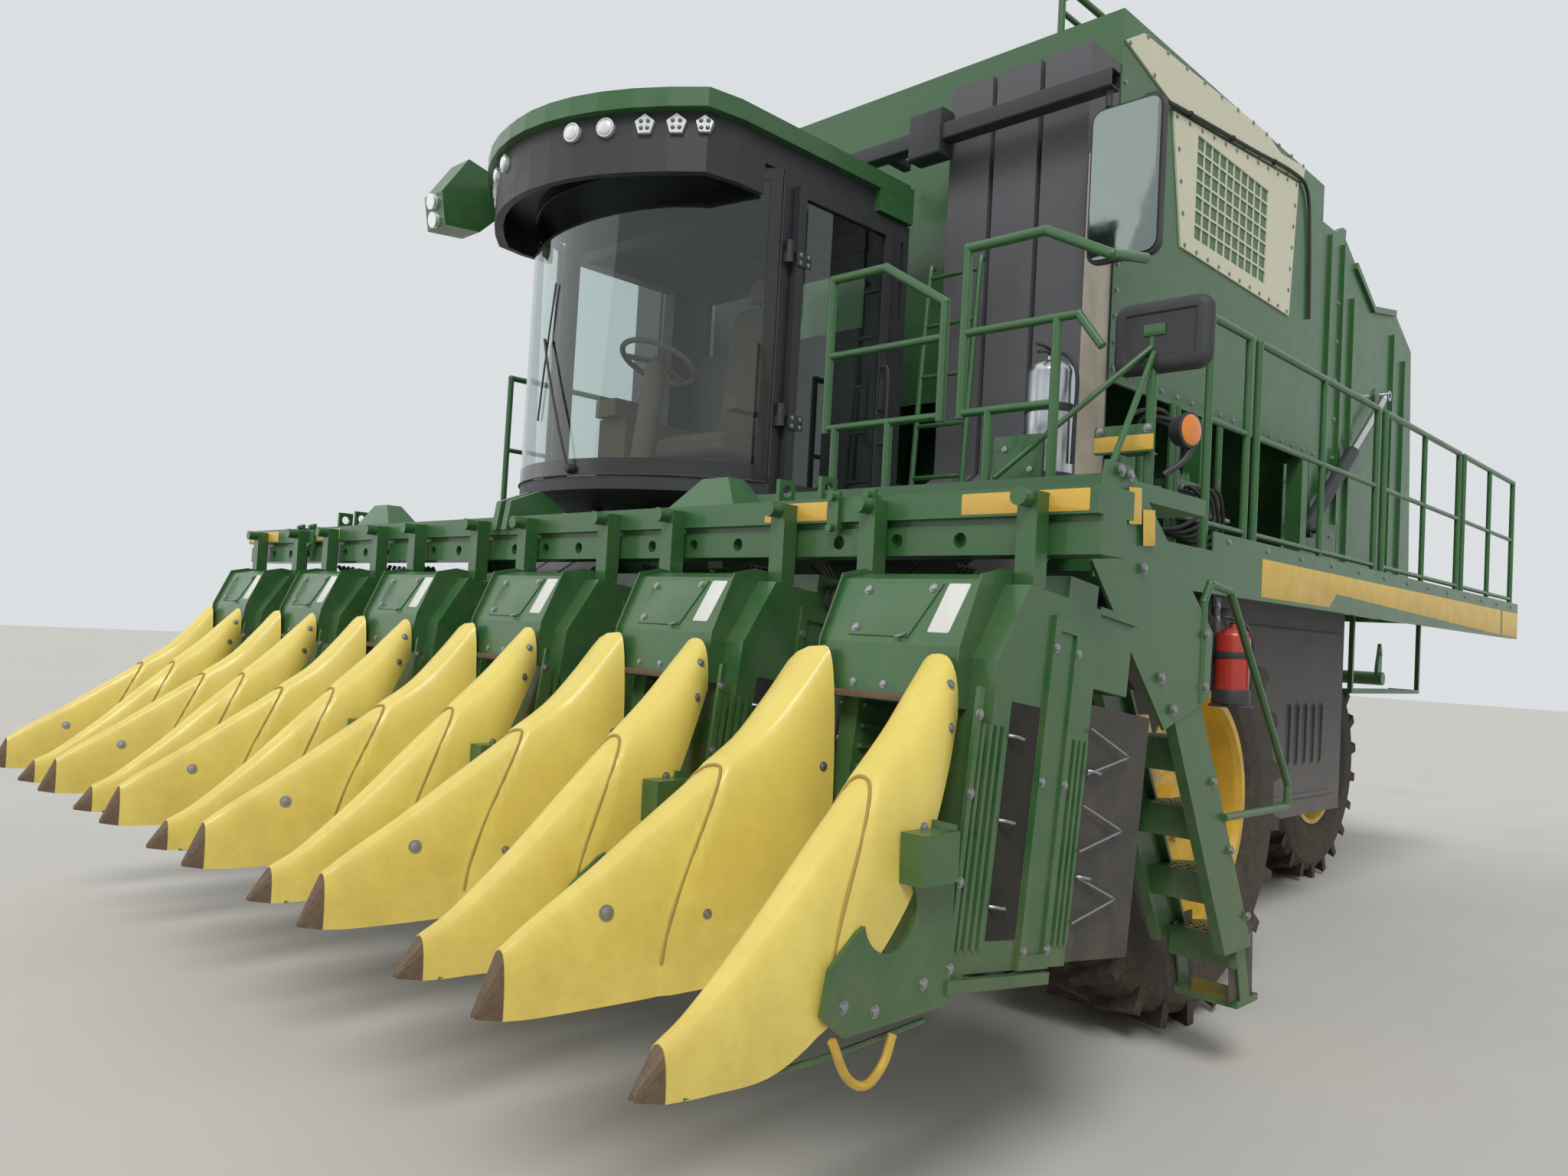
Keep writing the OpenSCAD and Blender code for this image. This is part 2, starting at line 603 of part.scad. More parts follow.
// The slanting feet of the ducts and the heads that open into the accumulator
module duct_ends() color(duct_grey) from_axle() for (k = [-1, 1], x = duct_x) {
    v = [cos(duct_slope), sin(duct_slope)];
    n = [-sin(duct_slope), cos(duct_slope)];
    half = duct_depth / 2;
    difference() {
        yz_plate(k * x - duct_w / 2, duct_w, [duct_foot + n * half, duct_mitre[0], duct_mitre[1],
            duct_foot - n * half]);
        yz_plate(k * x - duct_w / 2 + duct_t, duct_w - 2 * duct_t, [duct_foot + n * (half - duct_t) - v * 50,
            duct_foot + n * (half - duct_t) + v * 3000, duct_foot - n * (half - duct_t) + v * 3000,
            duct_foot - n * (half - duct_t) - v * 50]);
    }
    difference() {
        block([k * x - duct_w / 2, duct_back_y - duct_depth, duct_head_z],
            [k * x + duct_w / 2, duct_back_y, duct_out_z[1] + duct_t]);
        block([k * x - duct_w / 2 + duct_t, duct_back_y - duct_depth + duct_t, duct_head_z - 1],
            [k * x + duct_w / 2 - duct_t, duct_back_y + 1, duct_out_z[1]]);
    }
}

// The accumulator's sides, back and top, open below and in front of its front wall
module accumulator() color(green) from_axle() difference() {
    block([-acc_w / 2, acc_front_y + acc_wall, acc_low_z], [acc_w / 2, acc_back_y, acc_top_z]);
    block([-acc_w / 2 + acc_wall, acc_front_y, acc_low_z - 10],
        [acc_w / 2 - acc_wall, acc_back_y - acc_wall, acc_top_z - acc_wall]);
}

// Front wall with the mouths of the ducts
module accumulator_front() color(green) from_axle() difference() {
    block([-acc_w / 2, acc_front_y, acc_low_z], [acc_w / 2, acc_front_y + acc_wall, acc_top_z]);
    for (k = [-1, 1], x = duct_x)
        block([k * x - duct_w / 2 + duct_t, acc_front_y - 1, duct_out_z[0]],
            [k * x + duct_w / 2 - duct_t, acc_front_y + acc_wall + 1, duct_out_z[1]]);
}

// Pale cover panels on the accumulator's sides: a stepped upper one, and a lower one with a grid screen
screen = [[690, 3940], [1660, 4510]];
module accumulator_panels() color(cream) from_axle() both_sides() {
    yz_plate(acc_w / 2, 10, [[-140, 4690], [40, 4800], [1440, 4845], [1620, 4845], [1830, 4800], [2230, 4845],
        [2200, 4740], [390, 4560]]);
    difference() {
        yz_plate(acc_w / 2, 10, [[390, 4530], [540, 3850], [2050, 3840], [2130, 4710]]);
        block([0, screen[0][0], screen[0][1]], [acc_w, screen[1][0], screen[1][1]]);
    }
    for (i = [1 : 9]) let (y = screen[0][0] + i * (screen[1][0] - screen[0][0]) / 10)
        block([acc_w / 2, y - 6, screen[0][1] - 2], [acc_w / 2 + 6, y + 6, screen[1][1] + 2]);
    for (i = [1 : 6]) let (z = screen[0][1] + i * (screen[1][1] - screen[0][1]) / 7)
        block([acc_w / 2 + 1, screen[0][0] - 2, z - 6], [acc_w / 2 + 7, screen[1][0] + 2, z + 6]);
}

// Square boom over the cab with its bracket box and hanging mirror, and the landing's mirror on its post
module mirrors() color(dark) from_axle() {
    difference() {
        block([200, boom_y - 45, 4225], [1900, boom_y + 45, 4315]);
        block([1300, boom_y - 37, 4233], [1901, boom_y + 37, 4307]);
    }
    block([760, boom_y - 62, 4150], [960, boom_y + 62, 4400]);
    for (x = [300, 500]) block([x, boom_y, 4240], [x + 80, acc_front_y, 4300]);
    block([1850, boom_y - 20, 4140], [1890, boom_y + 20, 4226]);
    // Tall mirror: a shell with a raised back rib
    yz_plate(1790, 360, [[boom_y - 20, 3420], [boom_y + 60, 3470], [boom_y + 60, 4110], [boom_y - 20, 4150]]);
    // Landing mirror on a post with two struts
    bar([2600, -1450, landing_z], [2600, -1450, 2790], 44, 24);
    bar([2215, -1820, landing_z + 10], [2600, -1450, 2740], 26);
    block([2450, -1500, 2650], [2810, -1428, 2910]);
}

// Fire extinguishers on the landing and beside the ladder: bottle, neck and valve
module bottle(at, r, h) translate(at) rotate_extrude($fn = 32) polygon([[0, 0], [r - 8, 0], [r, 12], [r, h - 90],
    [r * 0.75, h - 40], [22, h - 15], [22, h], [34, h + 6], [34, h + 34], [0, h + 34]]);
module extinguishers() color("#b3261e") from_axle() {
    bottle([2216, -1500, landing_z], 90, 500);
    // The one beside the ladder stands on a bracket that hangs from the deck's edge
    translate([deck_x + 7, 40, 1470]) {
        bottle([78, 0, 0], 78, 360);
        block([0, -80, -14], [160, 80, 0.5]);
        block([-9, -25, -14], [1, 25, deck_z - 1470 - 198]);
    }
}

module chamber_front() color(green) from_axle() {
    side = chamber_w / 2;
    difference() {
        union() {
            both_sides() yz_plate(side - sheet, sheet, [[3010, chamber_low_z], [split_y - 10, chamber_low_z],
                [split_y - 10, chamber_top_z], [3010, chamber_top_z]]);
            both_sides() cross_shaft(side - 1, side + 20, gate_ram_root, 70);
            // Folded ribs on the side sheets
            both_sides() for (y = [3120, 3420, 3720, 4000])
                block([side - 1, y, chamber_low_z + 620], [side + 24, y + 46, chamber_top_z - 60]);
        }
        both_sides() cross_shaft(side - 20, side + 25, gate_ram_root, 20 + pin_gap);
    }
    // Crossbeam with the hinge lugs of the rear gate
    block([-side + sheet, split_y - 220, 4880], [side - sheet, split_y - 140, 4980]);
    both_sides() difference() {
        yz_plate(side - 60, 40, [[split_y - 220, 4970], [split_y - 140, 4970], [split_y + 30, gate_pin[1] - 40],
            [split_y + 40, gate_pin[1] + 40], [split_y - 40, gate_pin[1] + 40]]);
        cross_shaft(side - 80, side, gate_pin, 20 + pin_gap);
    }
}

// The round wall of the module chamber between y0 and y1: its front part fixed, its rear on the gate
module chamber_arc(y0, y1) translate([sheet - chamber_w / 2, 0, 0]) rotate([90, 0, 90])
    linear_extrude(chamber_w - 2 * sheet) difference() {
        translate(chamber_c) circle(r = module_d / 2 + sheet, $fn = 120);
        translate(chamber_c) circle(r = module_d / 2, $fn = 120);
        translate([y0 - 3000, 0]) square([3000, 6000]);
        translate([y1, 0]) square([3000, 6000]);
    }
module chamber_wall() color(green) from_axle() chamber_arc(3000, split_y - 10);
module gate_wall() color(green) from_axle() chamber_arc(split_y, rear_reach);

// Cab door, hung on the front pillar
module cab_door() color(dark) from_axle() {
    inner = cab_w / 2 + door_gap;
    difference() {
        block([inner, door_pin_y + 30, cab_floor_z + 20], [inner + door_t, door_end_y, eaves_z - 60]);
        block([inner - 1, door_pin_y + 80, cab_floor_z + 70], [inner + door_t + 1, door_end_y - 50, eaves_z - 110]);
    }
    for (z = door_hinge_z) translate([cab_w / 2 + door_pin_x, door_pin_y, z + 51]) {
        translate([0, 0, -51]) cylinder(r = 10, h = 52);
        cylinder(r = 18, h = 50);
        translate([-10, 0, 0]) cube([20, 35, 50]);
    }
}

module door_pane() color(glass) from_axle() {
    inner = cab_w / 2 + door_gap + (door_t - pane_t) / 2;
    block([inner, door_pin_y + 80, cab_floor_z + 70], [inner + pane_t, door_end_y - 50, eaves_z - 110]);
}

// Wheels

// A rim turned about X with its centre plane at x, dished towards +X
module rim(x, d, w, disc_x, bore_r) {
    r = d / 2;
    translate([x, 0, 0]) rotate([0, 90, 0]) rotate_extrude($fn = 96) polygon([
        [bore_r, disc_x], [r - 60, disc_x], [r - 20, -w / 2 + 20], [r, -w / 2 + 20], [r, -w / 2],
        [r + 25, -w / 2 - 12], [r + 25, -w / 2], [r, -w / 2 + 0.01],
        [r, w / 2], [r + 25, w / 2], [r + 25, w / 2 + 12], [r - 10, w / 2 + 12],
        [r - 20, w / 2 - 20], [r - 30, disc_x + 14], [bore_r, disc_x + 14]]);
}

// A tyre's carcass turned about X, with two staggered rows of slanting lugs
module tyre(x, d, w, rim_d) {
    r = d / 2;
    b = rim_d / 2;
    low = r - lug_h;
    translate([x, 0, 0]) rotate([0, 90, 0]) rotate_extrude($fn = 96) polygon([
        [b + 0.2, -w / 2 + 47], [b + 27, -w / 2 + 47], [b + 60, -w / 2 + 20], [b + 150, -w / 2],
        [low - 70, -w / 2 + 8], [low - 15, -w / 2 + 45], [low, -w / 2 + 110], [low, w / 2 - 110],
        [low - 15, w / 2 - 45], [low - 70, w / 2 - 8], [b + 150, w / 2], [b + 60, w / 2 - 20],
        [b + 27, w / 2 - 47], [b + 0.2, w / 2 - 47]]);
    translate([x, 0, 0]) for (i = [0 : lugs - 1], s = [-1, 1]) rotate([(i + s / 4) * 360 / lugs, 0, 0])
        translate([0, 0, low - 75]) linear_extrude(lug_h + 72) polygon([
            [-s * 18, -95], [-s * 18, -45], [s * (w / 2 - 14), 105], [s * (w / 2 - 14), 40]]);
}

module front_rims() {
    difference() {
        union() {
            for (i = [0, 1]) rim(inner_wheel_x + i * dual_pitch, front_rim_d, front_tyre_w - 90, i * 60, hub_r - 20);
            translate([inner_wheel_x - 60, 0, 0]) rotate([0, 90, 0]) cylinder(r = hub_r, h = dual_pitch + 140);
            // Hub cap and the ring of wheel studs
            translate([inner_wheel_x + dual_pitch + 79, 0, 0]) rotate([0, 90, 0]) cylinder(r = 95, h = 60);
            for (a = [0 : 30 : 330]) rotate([a, 0, 0]) translate([inner_wheel_x + dual_pitch + 73, 0, 190])
                rotate([0, 90, 0]) cylinder(r = 16, h = 26, $fn = 6);
        }
        translate([inner_wheel_x - 70, 0, 0]) rotate([0, 90, 0])
            cylinder(r = spindle_r + pin_gap, h = 215);
        for (a = [22.5 : 45 : 360]) rotate([a, 0, 0]) translate([inner_wheel_x + dual_pitch - 150, 0, 340])
            rotate([0, 90, 0]) cylinder(r = 42, h = 300, $fn = 32);
    }
}

module front_rims_left() color(yellow) from_axle() translate([0, 0, front_axle_z]) front_rims();
module front_rims_right() color(yellow) from_axle() translate([0, 0, front_axle_z])
    mirror([1, 0, 0]) front_rims();

module front_tyres() for (i = [0, 1])
    tyre(inner_wheel_x + i * dual_pitch, front_tyre_d, front_tyre_w, front_rim_d);
module front_tyres_left() color(tyre_black) from_axle() translate([0, 0, front_axle_z]) front_tyres();
module front_tyres_right() color(tyre_black) from_axle() translate([0, 0, front_axle_z])
    mirror([1, 0, 0]) front_tyres();

// A knuckle: kingpin, fork and wheel spindle
module knuckle() {
    translate([kingpin_x, 0, -150]) cylinder(r = kingpin_r, h = 300);
    for (z = [-160, 131]) translate([kingpin_x, 0, z]) cylinder(r = 85, h = 29);
    block([kingpin_x, -60, -160], [kingpin_x + 140, 60, -131]);
    block([kingpin_x, -60, 131], [kingpin_x + 140, 60, 160]);
    block([kingpin_x + 110, -60, -160], [kingpin_x + 160, 60, 160]);
    translate([kingpin_x + 140, 0, 0]) rotate([0, 90, 0])
        cylinder(r = 60, h = rear_wheel_x + 100 - kingpin_x - 140);
}
module knuckle_left() color(green) from_axle() translate([0, wheelbase, rear_axle_z]) knuckle();
module knuckle_right() color(green) from_axle() translate([0, wheelbase, rear_axle_z])
    mirror([1, 0, 0]) knuckle();

module rear_rim() difference() {
    union() {
        rim(rear_wheel_x, rear_rim_d, rear_tyre_w - 90, 60, 100);
        translate([rear_wheel_x - 40, 0, 0]) rotate([0, 90, 0]) cylinder(r = 120, h = 160);
    }
    translate([rear_wheel_x - 50, 0, 0]) rotate([0, 90, 0]) cylinder(r = 60 + pin_gap, h = 160);
}
module rear_rim_left() color(yellow) from_axle() translate([0, wheelbase, rear_axle_z]) rear_rim();
module rear_rim_right() color(yellow) from_axle() translate([0, wheelbase, rear_axle_z])
    mirror([1, 0, 0]) rear_rim();
module rear_tyre_left() color(tyre_black) from_axle() translate([0, wheelbase, rear_axle_z])
    tyre(rear_wheel_x, rear_tyre_d, rear_tyre_w, rear_rim_d);
module rear_tyre_right() color(tyre_black) from_axle() translate([0, wheelbase, rear_axle_z])
    mirror([1, 0, 0]) tyre(rear_wheel_x, rear_tyre_d, rear_tyre_w, rear_rim_d);

// Header lift

module lift_arms() color(green) from_axle() {
    both_sides() difference() {
        yz_plate(arm_x + 30, arm_w - 30, [
            arm_root + [60, -60], arm_root + [60, 60], arm_head + [40, 90], arm_head + [-60, 60],
            arm_head + [-60, -60], arm_root + [-200, -70]]);
        cross_shaft(arm_x, arm_x + 100, arm_head, arm_pin_r + pin_gap);
    }
    both_sides() cross_shaft(rail_x - rail_w / 2, arm_x + arm_w, arm_root, arm_pin_r);
    // Torque tube and the forks for the cylinder eyes
    difference() {
        union() {
            cross_shaft(-arm_x - 40, arm_x + 40, [-1480, 1690], 70);
            for (s = [-1, 1], o = [-65, 35])
                yz_plate(s * ram_x + o, 30, [ram_eye + [-45, -45], ram_eye + [45, -45],
                    [-1400, 1700], [-1560, 1740]]);
        }
        for (s = [-1, 1]) cross_shaft(s * ram_x - 70, s * ram_x + 70, ram_eye, 25 + pin_gap);
    }
}

// Unit vector from point a to point b, both as [y, z]
function unit(a, b) = (b - a) / norm(b - a);

// The barrel of a cylinder in the plane at x, from its root pin towards its eye
module ram_barrel(x, root, eye, r, length, w, pin_r) {
    v = unit(root, eye);
    a = atan2(v[1], v[0]);
    translate([x, root[0], root[1]]) rotate([a, 0, 0]) {
        difference() {
            rotate([-90, 0, 0]) cylinder(r = r, h = length);
            translate([0, 60, 0]) rotate([-90, 0, 0]) cylinder(r = r * 0.55 + pin_gap, h = length);
        }
        translate([-w / 2, 0, 0]) rotate([0, 90, 0]) cylinder(r = r, h = w);
    }
    cross_shaft(x - w / 2 - 30, x + w / 2 + 30, root, pin_r);
}

// The rod of the same cylinder, down to its free eye
module ram_rod(x, root, eye, r, reach, w, pin_r) {
    v = unit(eye, root);
    a = atan2(v[1], v[0]);
    translate([x, eye[0], eye[1]]) rotate([a, 0, 0]) {
        translate([0, pin_r + 5, 0]) rotate([-90, 0, 0]) cylinder(r = r * 0.55, h = reach - pin_r - 5);
        translate([-w / 2, 0, 0]) rotate([0, 90, 0]) difference() {
            cylinder(r = pin_r + 22, h = w);
            translate([0, 0, -1]) cylinder(r = pin_r + 3, h = w + 2);
        }
    }
}

module lift_barrels() color(dark) from_axle() for (s = [-1, 1])
    ram_barrel(s * ram_x, ram_root, ram_eye, 48, 560, 100, 25);
module lift_rods() color(chrome) from_axle() for (s = [-1, 1])
    ram_rod(s * ram_x, ram_root, ram_eye, 48, 560, 56, 25);

// Header

// Turns a unit about its hood's lip so that its lower end stands forward
module lean() translate([0, hood_face_y, hood_lip_z]) rotate([-unit_lean, 0, 0])
    translate([0, -hood_face_y, -hood_lip_z]) children();

// Height of the leaning units' top plates at y
function roof_at(y) = hood_lip_z + (unit_top_z - hood_lip_z) / cos(unit_lean) - (y - hood_face_y) * tan(unit_lean);

// Two box beams one above the other, with what is bolted and welded to them
module toolbar() color(green) from_axle() {
    low_z = toolbar_z - 190;
    block([-toolbar_half, bar_y[0], toolbar_z - 80], [toolbar_half, bar_y[1], toolbar_z]);
    difference() {
        block([-toolbar_half, bar_y[0] + 20, low_z], [toolbar_half, bar_y[1] - 40, toolbar_z - 79]);
        for (x = [-toolbar_half + 110 : 240 : toolbar_half]) translate([x, bar_y[0] + 19, low_z + 45])
            rotate([-90, 0, 0]) cylinder(d = 46, h = 30, $fn = 24);
        block([-toolbar_half - 1, bar_y[0] + 19, toolbar_z - 100], [toolbar_half + 1, bar_y[0] + 30, toolbar_z - 81]);
    }
    // Flange plates at the middle, where the two halves are bolted
    for (x = [-60, 20]) yz_plate(x, 40, [[bar_y[0] - 30, toolbar_z - 60],
        [bar_y[1] + 90, toolbar_z - 60], [bar_y[1] + 70, toolbar_z + 60], [bar_y[1] - 60, toolbar_z + 130],
        [bar_y[0] - 10, toolbar_z + 70]]);
    // Stop blocks, clamp plates with two bolts, and lifting eyes
    both_sides() {
        intersection() {
            yz_plate(stop_x, 360, [[bar_y[0] + 10, toolbar_z - 1], [bar_y[1] - 10, toolbar_z - 1],
                [bar_y[1] - 60, toolbar_z + 110], [bar_y[0] + 60, toolbar_z + 110]]);
            translate([stop_x, bar_y[1], 0]) rotate([90, 0, 0]) linear_extrude(200) polygon([[0, toolbar_z - 1],
                [360, toolbar_z - 1], [270, toolbar_z + 110], [130, toolbar_z + 110]]);
        }
        for (x = clamp_x) {
            block([x, bar_y[0] - 15, toolbar_z - 120], [x + 45, bar_y[0] + 1, toolbar_z + 20]);
            for (z = [toolbar_z - 100, toolbar_z]) translate([x + 22, bar_y[0] - 35, z]) rotate([-90, 0, 0])
                cylinder(d = 26, h = 22, $fn = 24);
        }
        for (x = eye_x) difference() {
            block([x - 8, bar_y[0] + 70, toolbar_z - 1], [x + 8, bar_y[1] - 50, toolbar_z + 90]);
            cross_shaft(x - 9, x + 9, [bar_y[0] + 110, toolbar_z + 50], 22, 24);
        }
    }
    // Forks and pins of the lift arms
    both_sides() for (x = [arm_x - 10, arm_x + arm_w + 10]) yz_plate(x, 30, [[bar_y[1] - 1, toolbar_z - 150],
        [bar_y[1] - 1, toolbar_z - 10], arm_head + [60, 60], arm_head + [60, -60], arm_head + [-40, -60]]);
    both_sides() cross_shaft(arm_x - 10, arm_x + arm_w + 40, arm_head, arm_pin_r);
    // Hangers of the row units, each with its roller tube
    for (x = row_x, o = hanger_x) {
        block([x + o - 32, bar_y[0] - 60, roof_at(bar_y[0] - 60)], [x + o + 32, bar_y[0] + 1, toolbar_z - 20]);
        translate([x + o, bar_y[0] - 110, toolbar_z - 40]) rotate([-90, 0, 0]) cylinder(r = 26, h = 140, $fn = 32);
    }
}

// The outline that a unit's walls share, chamfered under its hood
unit_outline = [[unit_face_y, unit_z], [unit_face_y, hood_lip_z + 130], [unit_face_y + 110, unit_top_z],
    [unit_back_y, unit_top_z], [unit_back_y, unit_z]];

// A drum housing on the machine's left of each row and a sheet wall on its right
module unit_cabinets() color(green) from_axle() for (x = row_x) translate([x, 0, 0]) {
    lean() {
        yz_plate(housing_x[0], housing_x[1] - housing_x[0], unit_outline);
        yz_plate(throat_wall_x[0], throat_wall_x[1] - throat_wall_x[0], unit_outline);
        block([throat_wall_x[0], unit_face_y + 110, unit_top_z - 60], [housing_x[0], unit_back_y, unit_top_z]);
        // Grid bars on both sides of the throat
        for (z = [unit_z + 60 : grid_pitch : hood_lip_z]) for (p = [throat_wall_x[1] - 1, housing_x[0] - grid_bar])
            block([p, unit_face_y + 20, z], [p + grid_bar + 1, unit_back_y - 60, z + grid_bar]);
        // Corner post, rear post and foot rail on the outer face
        block([housing_x[1] - 70, unit_face_y - 85, unit_z - 40], [housing_x[1], unit_face_y + 1, hood_lip_z - 330]);
        block([housing_x[1] - 1, unit_face_y - 85, unit_z - 40], [housing_x[1] + post_t, unit_face_y - 65, hood_lip_z + 50]);
        difference() {
            block([housing_x[1] - 1, -2400, unit_z], [housing_x[1] + post_t, -2250, unit_top_z - 60]);
            block([housing_x[1] + 4, -2370, unit_z + 40], [housing_x[1] + post_t + 1, -2280, unit_top_z - 100]);
        }
        block([housing_x[1] - 1, unit_face_y - 85, unit_z - 40], [housing_x[1] + post_t + 8, -2250, unit_z - 8]);
        // Ribbed doors before and behind the rear post
        for (y = [-2690, -2658, -2626, -2594, -2225, -2195, -2165])
            block([housing_x[1] - 1, y, unit_z + 60], [housing_x[1] + 9, y + 14, hood_lip_z - 40]);
        // Gearbox across the top, the hanger's ear and the lidded box behind
        block([throat_wall_x[0], -2330, unit_top_z - 1], [housing_x[1], -2170, unit_top_z + gearbox_h]);
        block([-280, -2440, unit_top_z - 40], [throat_wall_x[0] + 1, -2340, unit_top_z]);
        block([housing_x[0] + 30, unit_back_y - 1, unit_top_z - 230], [housing_x[1] - 20, unit_back_y + 240, unit_top_z - 10]);
        block([housing_x[0] + 18, unit_back_y + 10, unit_top_z - 11], [housing_x[1] - 8, unit_back_y + 252, unit_top_z + 12]);
    }
    // Stalk-guide plate with its round cut, and the box above it
    difference() {
        yz_plate(housing_x[1], post_t, [[-2790, unit_z - 60], [-2790, 1230], [-2880, 1250], [-2905, 1120],
            [-3150, 1020], [-3240, 950], [-3260, unit_z], [-3180, unit_z - 60]]);
        cross_shaft(housing_x[1] - 1, housing_x[1] + post_t + 1, [-3035, 1050], 95);
    }
    block([housing_x[1], -3000, 1110], [housing_x[1] + 70, -2860, 1230]);
}

// Rubber curtains behind the units' outer faces
module unit_curtains() color(tyre_black) from_axle() for (x = row_x) translate([x, 0, 0]) lean() {
    block([housing_x[1] - 8, unit_back_y, unit_z + 10], [housing_x[1] - 1, unit_back_y + 370, unit_top_z - 280]);
    block([throat_wall_x[0], unit_back_y, unit_z + 10], [throat_wall_x[0] + 7, unit_back_y + 370, unit_top_z - 280]);
}

// Bent sheet hoods over the units' chamfers, with side flanges and a lip
module unit_hoods() color(green) from_axle() for (x = row_x) translate([x + hood_shift - hood_w / 2, 0, 0]) lean() {
    yz_plate(0, hood_w, [[-2440, unit_top_z], [-2440, unit_top_z + 24], [unit_face_y + 90, unit_top_z + 24],
        [unit_face_y + 10, unit_top_z - 6], [hood_face_y, hood_lip_z + 150], [hood_face_y, hood_lip_z],
        [unit_face_y, hood_lip_z], [unit_face_y, hood_lip_z + 130], [unit_face_y + 110, unit_top_z]]);
    for (side = [0, hood_w - 6]) difference() {
        yz_plate(side, 6, [[hood_face_y - 14, hood_lip_z], [hood_face_y - 14, hood_lip_z + 154],
            [unit_face_y - 2, unit_top_z + 8], [unit_face_y + 90, unit_top_z + 40], [-2440, unit_top_z + 40],
            [-2440, unit_top_z + 20], [unit_face_y + 90, unit_top_z + 20], [hood_face_y + 6, hood_lip_z + 150],
            [hood_face_y + 6, hood_lip_z]]);
    }
    block([0, hood_face_y - 14, hood_lip_z - 8], [hood_w, unit_face_y, hood_lip_z]);
}

// A closed polyhedron through rings of points, each an outline of as many points. The caps are ladders
// between a ring's first half and its second half, so that a thin arch stays open underneath.
module loft(rings) {
    n = len(rings[0]);
    m = len(rings);
    last = (m - 1) * n;
    sides = [for (j = [0 : m - 2], i = [0 : n - 1]) let (a = j * n + i, b = j * n + (i + 1) % n)
        each [[a, b, a + n], [b, b + n, a + n]]];
    caps = [for (i = [0 : n / 2 - 2]) each [
        [n - 1 - i, n - 2 - i, i], [n - 2 - i, i + 1, i],
        [last + i, last + n - 2 - i, last + n - 1 - i], [last + i, last + i + 1, last + n - 2 - i]]];
    polyhedron(points = [for (r = rings) each r], faces = concat(sides, caps));
}

function reverse(v) = [for (i = [len(v) - 1 : -1 : 0]) v[i]];

// Half of a snout's arch in steps, and its wall's inward offset at the ridge
arch_steps = 5;
// A ring of a snout at station [y, ridge x, ridge z, left x, left foot z, right x, right foot z]: quarter
// curves from the left foot over the ridge to the right foot, the inner wall a moulding's thickness inside
function snout_side(s, foot_x, foot_z, t, up) = [for (i = [0 : arch_steps])
    let (a = 90 * (up ? i : arch_steps - i) / arch_steps, side = sign(foot_x - s[1]))
    [s[1] + (foot_x - side * t - s[1]) * pow(cos(a), 0.75), s[0], foot_z + (s[2] - t - foot_z) * pow(sin(a), 0.85)]];
function snout_arch(s, t) = concat(snout_side(s, s[3], s[4], t, true),
    [for (i = [1 : arch_steps]) snout_side(s, s[5], s[6], t, false)[i]]);
function snout_ring(s) = concat(snout_arch(s, 0), reverse(snout_arch(s, moulding_t)));
module snout(stations) loft([for (s = stations) snout_ring(s)]);

// Stations of the two snouts, x from the row's centre line
wide_stations = [
    [snout_front_y, -295, 900, -262, 742, -328, 742], [-3560, -291, 955, -246, 738, -338, 738],
    [-3400, -280, 1055, -222, 738, -356, 738], [-3220, -262, 1180, -192, 742, -380, 742],
    [-3040, -238, 1305, -158, 752, -406, 750], [-2900, -210, 1412, -128, 800, -430, 770],
    [-2790, -180, 1540, -108, 900, -444, 800], [snout_back_y, -160, 1648, -100, 1010, -452, 850]];
narrow_stations = [
    [snout_front_y, 295, 850, 326, 742, 264, 742], [-3540, 293, 905, 342, 740, 244, 740],
    [-3360, 288, 1050, 358, 748, 212, 744], [-3180, 282, 1215, 372, 850, 188, 752],
    [-2980, 272, 1390, 378.5, 1035, 166, 790], [-2880, 264, 1478, 374, 1200, 154, 900],
    [-2790, 254, 1566, 352, 1365, 150, 1100], [snout_back_y, 244, 1645, 312, 1490, 150, 1330]];
module wide_snouts() color(snout_yellow) from_axle() for (x = row_x) translate([x, 0, 0]) snout(wide_stations);
module narrow_snouts() color(snout_yellow) from_axle() for (x = row_x) translate([x, 0, 0]) snout(narrow_stations);

// Worn steel noses on the snouts' front ends, from a blunt point to the snout's first ring
function nose_point(s) = [-front_reach, s[1], point_z + 8, s[1] + 9, point_z - 8, s[1] - 9, point_z - 8];
function nose_base(s) = [for (i = [0 : 6]) i == 0 ? snout_front_y - 0.5 : s[i]];
function flattened(s) = [s[0], s[1], max(s[4], s[6]) + 6, s[3], s[4], s[5], s[6]];
module wear_steel() color(steel) from_axle() for (x = row_x, s = [wide_stations[0], narrow_stations[0]])
    translate([x, 0, 0]) loft([for (q = [nose_point(s), nose_base(s)])
        concat(snout_arch(q, 0), reverse(snout_arch(flattened(q), 2)))]);

// Ribbed sleeves of the shafts between the units' gearboxes, in the units' own leaning frame
module drive_shafts() color(dark) from_axle() lean() for (k = [0 : rows - 2]) {
    span = [row_x[k + 1] + housing_x[1], row_x[k] + throat_wall_x[0]];
    cross_shaft(span[0], span[1], drive_at, 40);
    for (x = [span[0] + 12 : 30 : span[1] - 16]) cross_shaft(x, x + 14, drive_at, 48);
}

// Rear gate and module handler

